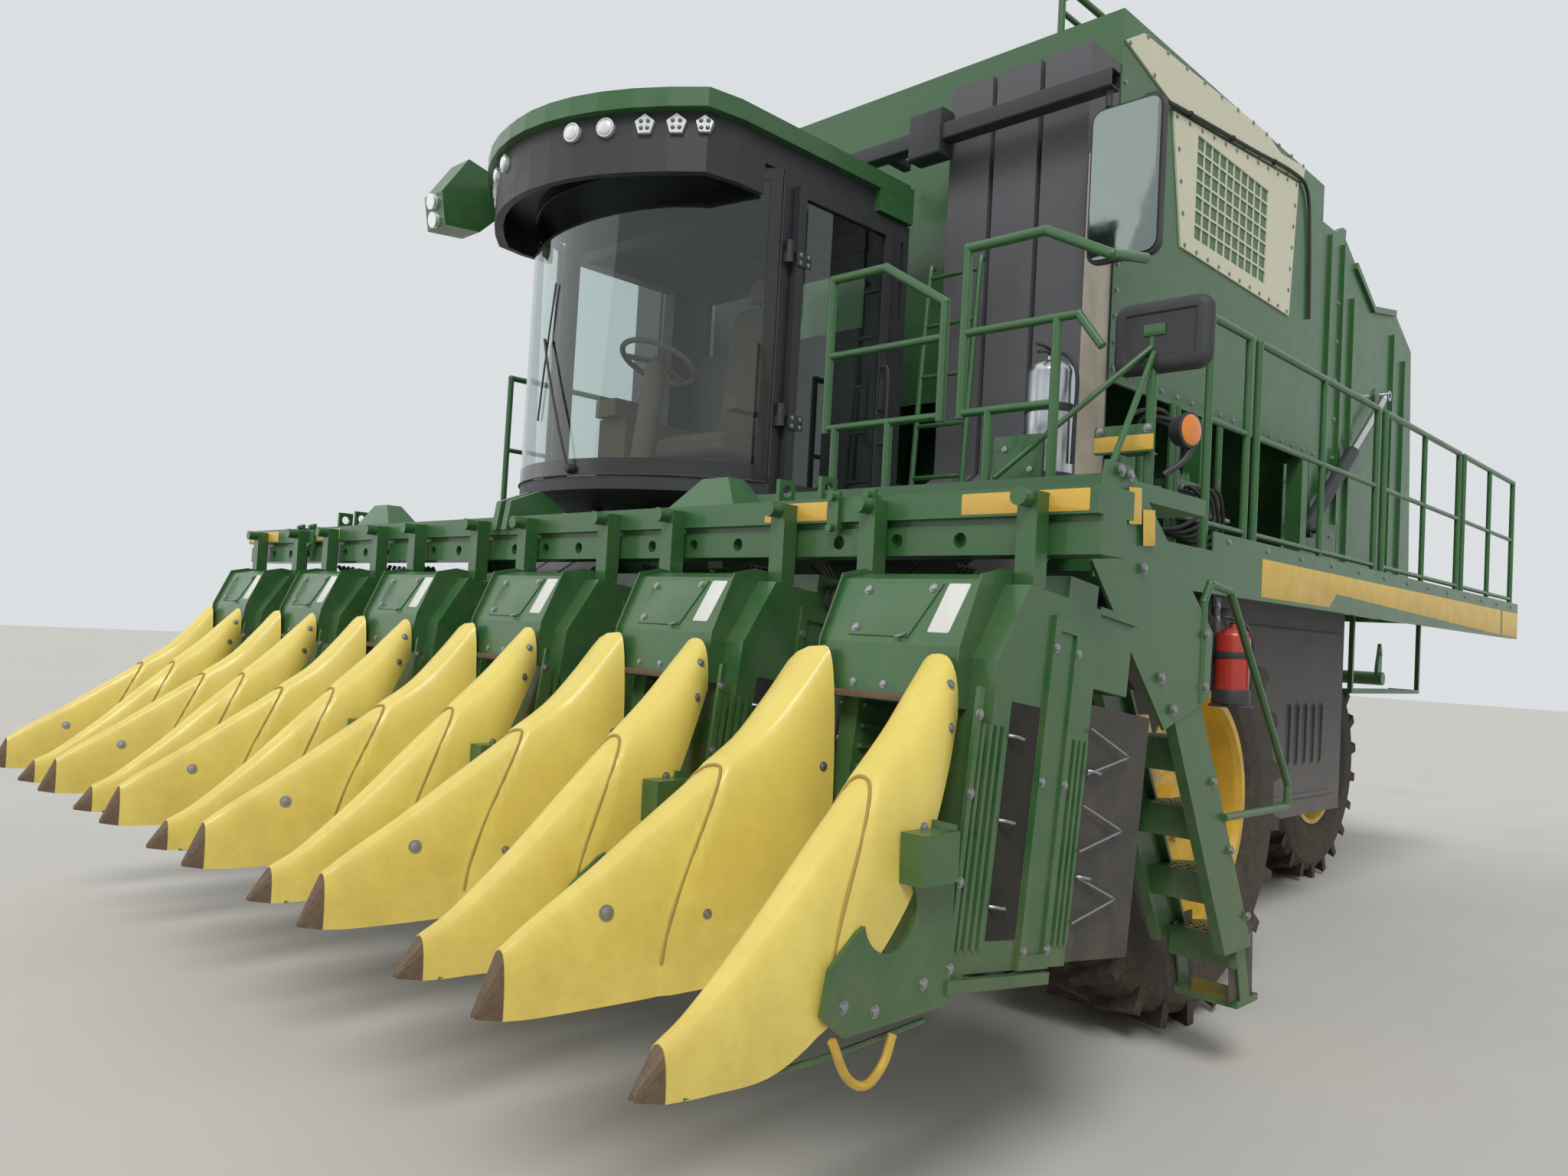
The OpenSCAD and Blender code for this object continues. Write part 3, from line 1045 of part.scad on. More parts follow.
module rear_gate() color(green) from_axle() {
    rear = rear_reach - 300;
    side = chamber_w / 2;
    both_sides() yz_plate(side - sheet, sheet, [[split_y, chamber_low_z], [4700, chamber_low_z], [rear, 2450],
        [rear - 150, 4470], [rear - 650, 4720], [4750, 4620], [split_y, 4970]]);
    // Folded ribs and the raised rim of the side sheets
    both_sides() {
        for (r = [[4240, 2250, 4560], [5250, 2420, 4500], [5560, 2450, 4340]])
            block([side - 1, r[0], r[1]], [side + 26, r[0] + 50, r[2]]);
        yz_plate(side - 1, 26, [[4300, 4860], [4750, 4620], [5292, 4719], [5292, 4669], [4745, 4570], [4290, 4810]]);
    }
    // Crossbeam with the hinge lugs and pins
    block([-side + sheet, split_y + 10, 4620], [side - sheet, split_y + 90, 4700]);
    both_sides() yz_plate(side - 110, 40, [[split_y + 10, 4690], [split_y + 90, 4690],
        [split_y + 40, gate_pin[1] + 35], [split_y - 30, gate_pin[1] + 35], [split_y - 30, gate_pin[1] - 30],
        [split_y + 10, gate_pin[1] - 50]]);
    both_sides() cross_shaft(side - 110, side - 20, gate_pin, 20);
    both_sides() cross_shaft(side - 1, side + 12, gate_ram_eye, 70);
}

gate_ram_x = chamber_w / 2 + 75;
module gate_barrels() color(dark) from_axle() for (s = [-1, 1])
    ram_barrel(s * gate_ram_x, gate_ram_root, gate_ram_eye, 50, 1150, 100, 20);
module gate_rods() color(chrome) from_axle() for (s = [-1, 1])
    ram_rod(s * gate_ram_x, gate_ram_root, gate_ram_eye, 50, 1350, 70, 20);

module module_handler() color(green) from_axle() {
    tail = rear_reach - 60;
    both_sides() yz_plate(rail_x - 70, 40, [handler_pin + [-60, -60], handler_pin + [60, -60],
        [tail, handler_pin[1] - 40], [tail, handler_pin[1] + 60], handler_pin + [-60, 60]]);
    both_sides() cross_shaft(rail_x - 70, rail_x + 40, handler_pin, 30);
    cross_shaft(-1100, 1100, [tail, handler_pin[1] + 10], 60);
    // Cradle arms under the module with their curved plates
    both_sides() for (x = [700, 1040]) difference() {
        yz_plate(x, 30, [[tail - 60, handler_pin[1] - 30], [tail + 50, handler_pin[1] - 30],
            [tail + 58, handler_pin[1] + 260], [tail + 20, handler_pin[1] + 330], [tail - 50, handler_pin[1] + 120]]);
        cross_shaft(x - 1, x + 31, [tail + 10, handler_pin[1] + 230], 20, 24);
    }
}

frame_rails();
cross_members();
outriggers();
front_axle();
rear_axle();
engine_block();
side_tanks();
cab_shell();
cab_roof();
roof_visor();
roof_lamps();
cab_glass();
seat();
cab_interior();
landing();
decks();
handrails();
landing_rails();
top_guards();
ducts();
duct_ends();
accumulator();
accumulator_front();
accumulator_panels();
mirrors();
extinguishers();
chamber_front();
chamber_wall();
cab_door();
door_pane();
front_rims_left();
front_tyres_left();
front_rims_right();
front_tyres_right();
knuckle_left();
rear_rim_left();
rear_tyre_left();
knuckle_right();
rear_rim_right();
rear_tyre_right();
lift_arms();
lift_barrels();
lift_rods();
toolbar();
unit_cabinets();
unit_curtains();
unit_hoods();
wide_snouts();
narrow_snouts();
wear_steel();
drive_shafts();
rear_gate();
gate_wall();
gate_barrels();
gate_rods();
module_handler();
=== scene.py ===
import math
import bmesh, bpy
import numpy as np
from mathutils import Matrix


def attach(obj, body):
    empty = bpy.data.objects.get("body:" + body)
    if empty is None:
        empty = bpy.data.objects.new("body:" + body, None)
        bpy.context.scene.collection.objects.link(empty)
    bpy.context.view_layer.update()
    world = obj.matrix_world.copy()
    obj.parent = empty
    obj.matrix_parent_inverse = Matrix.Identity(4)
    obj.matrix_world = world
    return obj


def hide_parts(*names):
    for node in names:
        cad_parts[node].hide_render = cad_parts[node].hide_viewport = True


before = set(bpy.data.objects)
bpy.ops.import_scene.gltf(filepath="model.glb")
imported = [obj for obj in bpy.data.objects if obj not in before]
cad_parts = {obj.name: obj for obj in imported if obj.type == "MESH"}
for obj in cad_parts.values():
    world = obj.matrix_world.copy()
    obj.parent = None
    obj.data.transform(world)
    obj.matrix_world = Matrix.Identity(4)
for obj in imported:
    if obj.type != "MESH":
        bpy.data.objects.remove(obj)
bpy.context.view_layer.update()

# The camera stands to the machine's front left at head height, as the photograph's does.
# Its focal length, place and turn were worked out from known sizes in the picture.
eye = (4.4625, -6.4266, 1.6802)
yaw, pitch, roll = 0.77354, 0.03955, 0.05587
focal, picture_width, film_width = 1491.9, 2048, 36.0    # the first two in pixels, the last in mm
ahead = np.array([-math.sin(yaw) * math.cos(pitch), math.cos(yaw) * math.cos(pitch), math.sin(pitch)])
across = np.array([math.cos(yaw), math.sin(yaw), 0.0])
above = np.cross(across, ahead)
right = math.cos(roll) * across + math.sin(roll) * above
up = -math.sin(roll) * across + math.cos(roll) * above
lens = bpy.data.cameras.new("camera")
lens.sensor_width, lens.lens, lens.clip_end = film_width, film_width * focal / picture_width, 200.0
camera = bpy.data.objects.new("camera", lens)
camera.matrix_world = Matrix([[right[i], up[i], -ahead[i], eye[i]] for i in range(3)] + [[0, 0, 0, 1]])
bpy.context.scene.collection.objects.link(camera)
bpy.context.scene.camera = camera
bpy.context.scene.view_settings.view_transform = "Standard"


# A pale studio: an even grey-white surround for the camera and for reflections, and a plain floor
# that keeps the machine's shadow. Two broad suns and the surround light colours about as written.
def linear(code, alpha=1.0):
    """The linear colour of an sRGB hex code: each channel through the standard sRGB curve."""
    c = np.array([int(code[i:i + 2], 16) for i in (1, 3, 5)]) / 255
    c = np.where(c <= 0.04045, c / 12.92, ((c + 0.055) / 1.055) ** 2.4)
    return (*c.tolist(), alpha)


def add(tree, kind, at=None, **given):
    """Adds a node. Each keyword is a socket or a setting: a socket takes a value, or another node's
    output to link from; a list of two names the node and the output. Names write spaces as _."""
    node = tree.nodes.new("ShaderNode" + kind)
    for name, value in (at or {}).items():
        setattr(node, name, value)
    for name, value in given.items():
        key = int(name[1:]) if name[0] == "i" and name[1:].isdigit() else name.replace("_", " ")
        socket = node.inputs[key]
        if isinstance(value, bpy.types.NodeSocket):
            tree.links.new(value, socket)
        elif isinstance(value, bpy.types.Node):
            tree.links.new(value.outputs[0], socket)
        else:
            socket.default_value = value
    return node


world = bpy.data.worlds.new("studio")
bpy.context.scene.world = world
world.use_nodes = True
sky = world.node_tree
sky.nodes.clear()
ray = add(sky, "LightPath")
seen = ray.outputs["Is Camera Ray"]
for kind in ("Is Glossy Ray", "Is Transmission Ray"):
    seen = add(sky, "Math", at={"operation": "MAXIMUM"}, i0=seen, i1=ray.outputs[kind])
lit = add(sky, "Background", Color=linear("#f4f6f8"), Strength=0.46)
shown = add(sky, "Background", Color=linear("#e6eaed"), Strength=0.9)
both = add(sky, "MixShader", i0=seen, i1=lit, i2=shown)
add(sky, "OutputWorld", Surface=both)

for name, turn, power, size in (("key_sun", (0.78, 0.0, 0.62), 1.75, 0.35),
                                ("fill_sun", (1.05, 0.0, -0.9), 0.55, 1.2)):
    lamp = bpy.data.lights.new(name, "SUN")
    lamp.energy, lamp.angle = power, size
    sun = bpy.data.objects.new(name, lamp)
    sun.rotation_euler = turn
    bpy.context.scene.collection.objects.link(sun)

floor_mesh = bpy.data.meshes.new("floor")
floor_mesh.from_pydata([(-60, -60, 0), (60, -60, 0), (60, 60, 0), (-60, 60, 0)], [], [(0, 1, 2, 3)])
floor = bpy.data.objects.new("floor", floor_mesh)
bpy.context.scene.collection.objects.link(floor)
concrete = bpy.data.materials.new("power_floated_concrete")
concrete.use_nodes = True
tree = concrete.node_tree
place = add(tree, "TexCoord").outputs["Object"]
cloud = add(tree, "TexNoise", Vector=place, Scale=0.8, Detail=6.0)
shade = add(tree, "Mix", at={"data_type": "RGBA"}, i0=cloud, i6=linear("#c9c6bf"), i7=linear("#d6d4ce"))
tree.nodes["Principled BSDF"].inputs["Roughness"].default_value = 0.85
tree.links.new(shade.outputs[2], tree.nodes["Principled BSDF"].inputs["Base Color"])
floor_mesh.materials.append(concrete)


# The painted frame, decks and housings: mild steel under semi-gloss enamel, sprayed and baked.
# The eye sees a soft sheen with faint orange peel, a dry dust film and pale rubbed patches.
def finish(name, base, other, roughness=0.4, metallic=0.0, coat=0.0, grain=900.0, grain_depth=0.15,
           dust="#a08c6c", dusting=0.25, dust_top=2.2, spots=0.06, patch=1.6):
    """A finish in steps: two tones of the base colour mixed by a cloud of patch cycles a metre, then a
    dust film that thins from the ground to dust_top metres, then small scuffs, with a grain bump."""
    made = bpy.data.materials.new(name)
    made.use_nodes = True
    t = made.node_tree
    shader = t.nodes["Principled BSDF"]
    spot = add(t, "TexCoord").outputs["Object"]
    cloud = add(t, "TexNoise", Vector=spot, Scale=patch, Detail=5.0, Roughness=0.6)
    tone = add(t, "Mix", at={"data_type": "RGBA"}, i0=cloud, i6=linear(base), i7=linear(other))
    height = add(t, "SeparateXYZ", Vector=spot).outputs["Z"]
    low = add(t, "MapRange", Value=height, From_Min=0.0, From_Max=dust_top, To_Min=dusting,
              To_Max=dusting * 0.25)
    drift = add(t, "TexNoise", Vector=spot, Scale=patch * 4.3, Detail=8.0, Roughness=0.7)
    lift = add(t, "MapRange", Value=drift, From_Min=0.35, From_Max=0.75, To_Min=0.2, To_Max=1.6)
    film = add(t, "Math", at={"operation": "MULTIPLY", "use_clamp": True}, i0=low, i1=lift)
    dusty = add(t, "Mix", at={"data_type": "RGBA"}, i0=film, i6=tone.outputs[2], i7=linear(dust))
    scuff = add(t, "TexNoise", Vector=spot, Scale=38.0, Detail=10.0, Roughness=0.75)
    worn = add(t, "MapRange", Value=scuff, From_Min=0.66, From_Max=0.74, To_Min=0.0, To_Max=spots * 6)
    coated = add(t, "Mix", at={"data_type": "RGBA"}, i0=worn, i6=dusty.outputs[2], i7=linear(dust))
    t.links.new(coated.outputs[2], shader.inputs["Base Color"])
    rough = add(t, "MapRange", Value=drift, From_Min=0.3, From_Max=0.7, To_Min=roughness,
                To_Max=min(1.0, roughness + 0.18))
    t.links.new(rough.outputs[0], shader.inputs["Roughness"])
    shader.inputs["Metallic"].default_value = metallic
    shader.inputs["Coat Weight"].default_value = coat
    shader.inputs["Coat Roughness"].default_value = 0.12
    peel = add(t, "TexNoise", Vector=spot, Scale=grain, Detail=2.0)
    bump = add(t, "Bump", Strength=grain_depth, Distance=0.002, Height=peel)
    t.links.new(bump.outputs[0], shader.inputs["Normal"])
    return made


def dress(material, *nodes):
    """Gives each named CAD node this material alone."""
    for node in nodes:
        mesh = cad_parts[node].data
        mesh.materials.clear()
        mesh.materials.append(material)

green_enamel = finish("green_enamel", "#1f5429", "#296834", roughness=0.32, coat=0.3, grain=420)
dress(green_enamel, "frame_rails", "cross_members", "outriggers", "front_axle", "rear_axle", "cab_roof",
      "landing", "decks", "handrails", "landing_rails", "top_guards", "accumulator", "accumulator_front",
      "chamber_front", "chamber_wall", "knuckle_left", "knuckle_right", "lift_arms", "toolbar",
      "unit_cabinets", "unit_hoods", "rear_gate", "gate_wall", "module_handler")

# Snouts: thick rotationally moulded polyethylene, chalky from the sun, scuffed brown low down. A rear
# cover laps over the front shell along a soft curved seam, whose shadow line is painted as a darker tube,
# and recessed bolts hold it to the units.
sun_faded_moulding = finish("sun_faded_moulding", "#e8d25e", "#efdb78", roughness=0.36, coat=0.15, grain=160,
                            dust="#a9803a", dusting=0.45, dust_top=1.4, spots=0.12)
axle = np.array([0.0, -1.275, 0.0])    # places below are measured from the front axle, in metres
row_x = [(2.5 - k) * 0.965 for k in range(6)]
X, Y, Z = np.eye(3)    # towards the machine's left, to its rear, and up


def skin(rings, ends=True, loop=False):
    """Faces over an (m, n, 3) array of rings: quads between neighbours, and one face over each end,
    or with loop the last ring meets the first."""
    m, n = rings.shape[:2]
    i, j = np.meshgrid(np.arange(m if loop else m - 1), np.arange(n), indexing="ij")
    after, beside = (i + 1) % m, (j + 1) % n
    quads = np.stack([i * n + j, i * n + beside, after * n + beside, after * n + j], -1)
    caps = [list(range(n))[::-1], list(range((m - 1) * n, m * n))] if ends and not loop else []
    return rings.reshape(-1, 3), quads.reshape(-1, 4).tolist() + caps


def make(name, body, skins, material, sharp=35):
    """One piece from a list of skins: their points shifted from the axle's frame, faces turned outwards,
    smooth but for edges sharper than the angle, with its material, riding on the body."""
    counts = np.cumsum([0] + [len(s[0]) for s in skins])
    points = np.concatenate([s[0] for s in skins]) + axle
    faces = [[v + c for v in f] for s, c in zip(skins, counts) for f in s[1]]
    mesh = bpy.data.meshes.new(name)
    mesh.from_pydata(points.tolist(), [], faces)
    work = bmesh.new()
    work.from_mesh(mesh)
    bmesh.ops.recalc_face_normals(work, faces=work.faces)
    work.to_mesh(mesh)
    work.free()
    mesh.shade_smooth()
    mesh.set_sharp_from_angle(angle=math.radians(sharp))
    mesh.materials.append(material)
    made = bpy.data.objects.new(name, mesh)
    bpy.context.scene.collection.objects.link(made)
    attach(made, body)
    return made


def through(points, count):
    """A smooth curve through the rows of points: Catmull-Rom cubics, sampled at count even steps."""
    p = np.array(points, float)
    p = np.concatenate([2 * p[:1] - p[1:2], p, 2 * p[-1:] - p[-2:-1]])
    s = np.linspace(0, len(p) - 3 - 1e-6, count)
    k = s.astype(int)
    t = (s - k)[:, None]
    a, b, c, d = p[k], p[k + 1], p[k + 2], p[k + 3]
    return 0.5 * (2 * b + (c - a) * t + (2 * a - 5 * b + 4 * c - d) * t ** 2
                  + (3 * b - a - 3 * c + d) * t ** 3)


def turned(profile, at, along=Z, sides=24):
    """A turned body: each [radius, height] of the profile is a circle round the axis through at."""
    w = np.array(along, float) / np.linalg.norm(along)
    u = np.cross(w, X if abs(w[0]) < 0.9 else Y)
    u /= np.linalg.norm(u)
    v = np.cross(w, u)
    a = np.linspace(0, 2 * math.pi, sides, endpoint=False)
    q = np.array(profile, float)
    circle = np.cos(a)[:, None] * u + np.sin(a)[:, None] * v
    return skin(np.array(at) + q[:, :1, None] * circle[None] + q[:, 1:, None] * w)


def tube(path, radius, sides=10):
    """A tube along a path: at each point a circle square to the way the path runs, carried forward from
    ring to ring without twist."""
    p = np.array(path, float)
    way = np.gradient(p, axis=0)
    way /= np.linalg.norm(way, axis=1, keepdims=True)
    side = np.cross(way[0], Z if abs(way[0, 2]) < 0.9 else X)
    rings = []
    a = np.linspace(0, 2 * math.pi, sides, endpoint=False)
    for at, w in zip(p, way):
        side = side - w * side.dot(w)
        side /= np.linalg.norm(side)
        rings.append(at + radius * (np.cos(a)[:, None] * side + np.sin(a)[:, None] * np.cross(w, side)))
    return skin(np.array(rings))


def bolt(at, along, r=0.011, h=0.007):
    """A domed bolt head on a washer."""
    profile = [[1.5 * r, -0.002], [1.5 * r, 0.002], [r, 0.002], [r, h], [0.6 * r, 1.3 * h]]
    return turned(profile, at, along, 10)


# The stations of each snout from its nose: a depth, then x and height of the ridge, of the left foot
# and of the right foot, each x from the row's middle. The bolts are shares along and angles round.
wide_snout = [[-3.639, -.295, .900, -.262, .742, -.328, .742], [-3.56, -.291, .955, -.246, .738, -.338, .738],
              [-3.4, -.280, 1.055, -.222, .738, -.356, .738], [-3.22, -.262, 1.18, -.192, .742, -.380, .742],
              [-3.04, -.238, 1.305, -.158, .752, -.406, .750], [-2.9, -.210, 1.412, -.128, .800, -.430, .770],
              [-2.79, -.180, 1.54, -.108, .900, -.444, .800], [-2.707, -.160, 1.648, -.100, 1.010, -.452, .850]]
narrow_snout = [[-3.639, .295, .850, .326, .742, .264, .742], [-3.54, .293, .905, .342, .740, .244, .740],
                [-3.36, .288, 1.05, .358, .748, .212, .744], [-3.18, .282, 1.215, .372, .850, .188, .752],
                [-2.98, .272, 1.39, .376, 1.035, .166, .790], [-2.88, .264, 1.478, .374, 1.200, .154, .900],
                [-2.79, .254, 1.566, .352, 1.365, .150, 1.10], [-2.707, .244, 1.645, .312, 1.490, .150, 1.33]]
lap_bolt = 0.30
wide_bolts = [(lap_bolt, 40), (0.52, 18), (0.62, 6), (0.82, 12), (0.93, 30), (0.45, 165), (0.9, 150)]
narrow_bolts = [(0.42, 12), (0.66, 14), (0.88, 20), (0.94, 46), (0.6, 160)]
wall_thickness, seam_y, seam_slant = 0.008, -3.02, 0.20


def snout_face(stations, along, sweep, wall=0.0):
    """Points of a snout at shares along it and angles round its arch, from the left foot over the ridge
    to the right foot: quarter curves x = foot + (ridge - foot)(1 - cos^0.75), z by sin^0.85, the
    stations joined by a smooth curve. The rear cover stands 9 mm proud just behind a slanting seam,
    less towards the back, and a groove runs before it."""
    fine = through(stations, 400)
    y, rx, rz, lx, lz, gx, gz = [np.interp(along, np.linspace(0, 1, 400), c)[:, None] for c in fine.T]
    a = np.where(sweep <= 90, sweep, 180 - sweep)[None]
    left = (sweep <= 90)[None]
    fx, fz = np.where(left, lx, gx), np.where(left, lz, gz)
    cos, sin = np.cos(np.radians(a)) ** 0.75, np.sin(np.radians(a)) ** 0.85
    past = y - (seam_y - seam_slant * np.cos(np.radians(sweep))[None] ** 2)
    lap = 0.009 / (1 + np.exp(-past / 0.003)) * np.exp(-np.maximum(past, 0) / 0.25)
    grow = 0.002 + lap - 0.004 * np.exp(-((past + 0.012) / 0.008) ** 2) - wall
    x = rx + (fx + np.sign(fx - rx) * grow - rx) * cos
    z = fz + (rz + grow - fz) * sin
    return np.stack([x, y + 0 * x, z], -1)


zinc_plate = finish("zinc_plate", "#8f9396", "#a7abad", roughness=0.38, metallic=0.9, grain=500,
                    dusting=0.25)
# A darker yellow for the thin tube laid in each seam's groove: a painted shadow line of the lap, not a colour
# of the moulding.
seam_shadow = finish("seam_shadow", "#a58c3c", "#b09847", roughness=0.7, dusting=0.4)
angles = np.linspace(0, 180, 25)
share = np.unique(np.concatenate([np.linspace(0, 1, 46), np.linspace(0.50, 0.80, 60)]))
for name, stations, bolts in (("wide_snout_shells", wide_snout, wide_bolts),
                              ("narrow_snout_shells", narrow_snout, narrow_bolts)):
    outer, inner = (snout_face(stations, share, angles, wall) for wall in (0.0, wall_thickness))
    one = np.concatenate([outer, inner[:, ::-1]], axis=1)
    spine = through(stations, 400)
    seam = []
    for a in np.linspace(8, 172, 40):
        fine = snout_face(stations, np.linspace(0, 1, 400), np.array([a]), -0.004)[:, 0]
        y = seam_y - 0.011 - seam_slant * math.cos(math.radians(a)) ** 2
        seam.append([np.interp(y, fine[:, 1], fine[:, 0]), y, np.interp(y, fine[:, 1], fine[:, 2])])
    skins, heads, seam_shadow_tubes = [], [], []
    for x in row_x:
        skins.append(skin(one + x * X))
        for s, a in bolts:
            p = snout_face(stations, np.array([s, s + 0.02]), np.array([a, a + 2.0]))
            n = np.cross(p[1, 0] - p[0, 0], p[0, 1] - p[0, 0])
            n *= np.sign(n[0] * (p[0, 0, 0] - spine[int(s * 399), 1])) / np.linalg.norm(n)
            heads.append(bolt(p[0, 0] + x * X, n, r=0.014 if s == lap_bolt else 0.009, h=0.005))
        # The darker tube in the groove before the lap is painted shadow.
        seam_shadow_tubes.append(tube(np.array(seam) + x * X, 0.0045, 6))
    shells = make(name, "header", skins, sun_faded_moulding, sharp=50)
    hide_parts(name.replace("_snout_shells", "_snouts"))
    make(name[:-6] + "bolts", "header", heads, zinc_plate)
    make(name[:-6] + "seam_shadow_tubes", "header", seam_shadow_tubes, seam_shadow)

# Snout noses: cast wear caps over the tips of the moulded shells, which slide on the soil and so are
# brown with polish rust.
polish_rust = finish("polish_rust", "#4a3a2e", "#6d5a4a", roughness=0.5, metallic=0.5, grain=300,
                     grain_depth=0.4, dusting=0.3, spots=0.2, patch=14)
dress(polish_rust, "wear_steel")


# Row units: sheet-steel hoods, enamelled green, with a lidded hatch each, a blank plate beside it and a
# rusty lip. Everything here leans with the unit, seven degrees about the hood's lower edge.
def plate(outline, at, u, v, thick, edge=0.002):
    """A plate: the convex outline laid in the directions u and v at a point, with its thickness along
    u x v, and both rims rounded by a quarter circle of the edge radius."""
    o = np.array(outline, float)
    u, v = np.array(u, float), np.array(v, float)
    t = np.roll(o, -1, 0) - np.roll(o, 1, 0)
    n = np.stack([-t[:, 1], t[:, 0]], 1) / np.linalg.norm(t, axis=1, keepdims=True)
    n *= np.sign(np.sum(o[:, 0] * np.roll(o[:, 1], -1) - o[:, 1] * np.roll(o[:, 0], -1)))
    rings = []
    for inset, depth in ((edge, 0), (0.3 * edge, 0.3 * edge), (0, edge), (0, thick - edge),
                         (0.3 * edge, thick - 0.3 * edge), (edge, thick)):
        q = o + n * inset
        rings.append(np.array(at) + q[:, :1] * u + q[:, 1:] * v + depth * np.cross(u, v))
    return skin(np.array(rings))


def rounded(w, h, r, steps=5):
    """A w by h rectangle round its own middle, with quarter-circle corners of radius r."""
    a = np.radians(np.linspace(0, 90, steps))
    arc = np.stack([np.cos(a), np.sin(a)], 1) * r
    a, b = w / 2 - r, h / 2 - r
    corners = [(a, b), (-a, b), (-a, -b), (a, -b)]
    turns = [[[1, 0], [0, 1]], [[0, 1], [-1, 0]], [[-1, 0], [0, -1]], [[0, -1], [1, 0]]]
    return np.concatenate([arc @ np.array(turn) + corner for turn, corner in zip(turns, corners)])


lean = math.radians(-7)
lip = np.array([0, -2.690, 1.520])


def leaning(point):
    """A point or direction of an upright unit, turned with the unit about its hood's lip."""
    p = np.array(point, float) - lip
    c, s = math.cos(lean), math.sin(lean)
    return np.stack([p[..., 0], p[..., 1] * c - p[..., 2] * s, p[..., 1] * s + p[..., 2] * c], -1) + lip


def tilt(direction):
    """A direction turned as the unit leans."""
    return leaning(lip + np.array(direction, float)) - lip


lid = [[-.155, -.082], [.06, -.082], [.125, .085], [-.120, .085], [-.155, .05]]
skew = np.array([[1, 0], [.16, 1]])
u, v = X, tilt(np.array([0, .060, .194]) / math.hypot(.060, .194))
proud = np.cross(u, v)
hood_middle, lid_place, lip_place, lip_bolts = 0.046, (-2.6595, 1.768), (-2.7048, 1.522), (-2.6905, 1.555)
lids, blanks, lips, heads, latches = [], [], [], [], []
for x in row_x:
    c = x + hood_middle
    at = leaning([c, *lid_place]) - 0.0008 * proud
    lids.append(plate(lid, at, u, v, 0.0055, 0.0016))
    blanks.append(plate(rounded(0.072, 0.150, 0.006) @ skew, at + .165 * u + .012 * v, u, v, 0.0018, 0.0004))
    for dx, dz in ((-.135, .062), (-.135, -.060), (.095, .070)):
        heads.append(bolt(at + dx * u + dz * v + 0.005 * proud, proud, 0.009, 0.006))
    grip = [at + a * u + b * v + d * proud for a, b, d in
            ((.02, -.075, 0), (.028, -.088, .016), (.045, -.082, .016), (.05, -.066, 0))]
    latches.append(tube(through(grip, 12), .004, 6))
    lips.append(plate(rounded(0.498, 0.020, 0.004), leaning([c, *lip_place]), X, tilt(Z), 0.003, 0.001))
    for dx in (-0.22, -0.11, 0.0, 0.11, 0.22):
        heads.append(bolt(leaning([c + dx, *lip_bolts]), tilt(-Y), 0.008, 0.005))
make("hood_lids", "header", lids, green_enamel)
blank_vinyl = finish("blank_vinyl", "#d9dad5", "#e6e6e1", roughness=0.35, grain=800, dusting=0.15)
make("hood_plates", "header", blanks, blank_vinyl)
make("hood_latches", "header", latches, zinc_plate)
make("hood_lips", "header", lips, polish_rust)

# Unit sides: bolts on the posts and doors, rubber guide sheets held by spring wires, and a yellow
# skid under each stalk-guide plate.
side_face = 0.390
post_bolts = [(-2.715, 0.87), (-2.715, 1.08), (-2.715, 1.30), (-2.715, 1.50), (-2.385, 0.90), (-2.385, 1.35),
              (-2.385, 1.72), (-2.265, 0.90), (-2.265, 1.35), (-2.265, 1.72)]
guide_bolts = [(-3.19, 0.86), (-2.90, 0.86), (-2.84, 1.17), (-3.08, 0.83)]
for x in row_x:
    heads += [bolt(leaning([x + side_face, y, z]), X, 0.010, 0.006) for y, z in post_bolts]
    heads += [bolt([x + side_face, y, z], X, 0.011, 0.006) for y, z in guide_bolts]
make("unit_bolts", "header", heads, zinc_plate)

wire_bends = np.array([[.392, -2.15, 0], [.398, -1.945, -.055], [.400, -1.925, -.062],
                       [.398, -1.945, -.069], [.392, -2.15, -.13]])
skid_arc = np.array([[.384, -3.215, .79], [.384, -3.16, .70], [.384, -3.09, .665], [.384, -3.03, .70],
                     [.384, -3.00, .762]])
wires = [tube(leaning(wire_bends + [x, 0, z]), 0.0035, 6) for x in row_x for z in (1.10, 1.30, 1.52)]
skids = [tube(through(skid_arc + x * X, 20), 0.011, 8) for x in row_x]
make("spring_wires", "header", wires, zinc_plate)
yellow_enamel = finish("yellow_enamel", "#d9ab25", "#e9c23c", roughness=0.36, coat=0.2, grain=420,
                       dust="#7d6a4c", dusting=0.5, dust_top=2.4, spots=0.1)
make("stalk_skids", "header", skids, yellow_enamel)
ribbed_rubber = finish("ribbed_rubber", "#25282b", "#34373a", roughness=0.6, grain=300, dusting=0.25)
dress(ribbed_rubber, "drive_shafts", "unit_curtains")

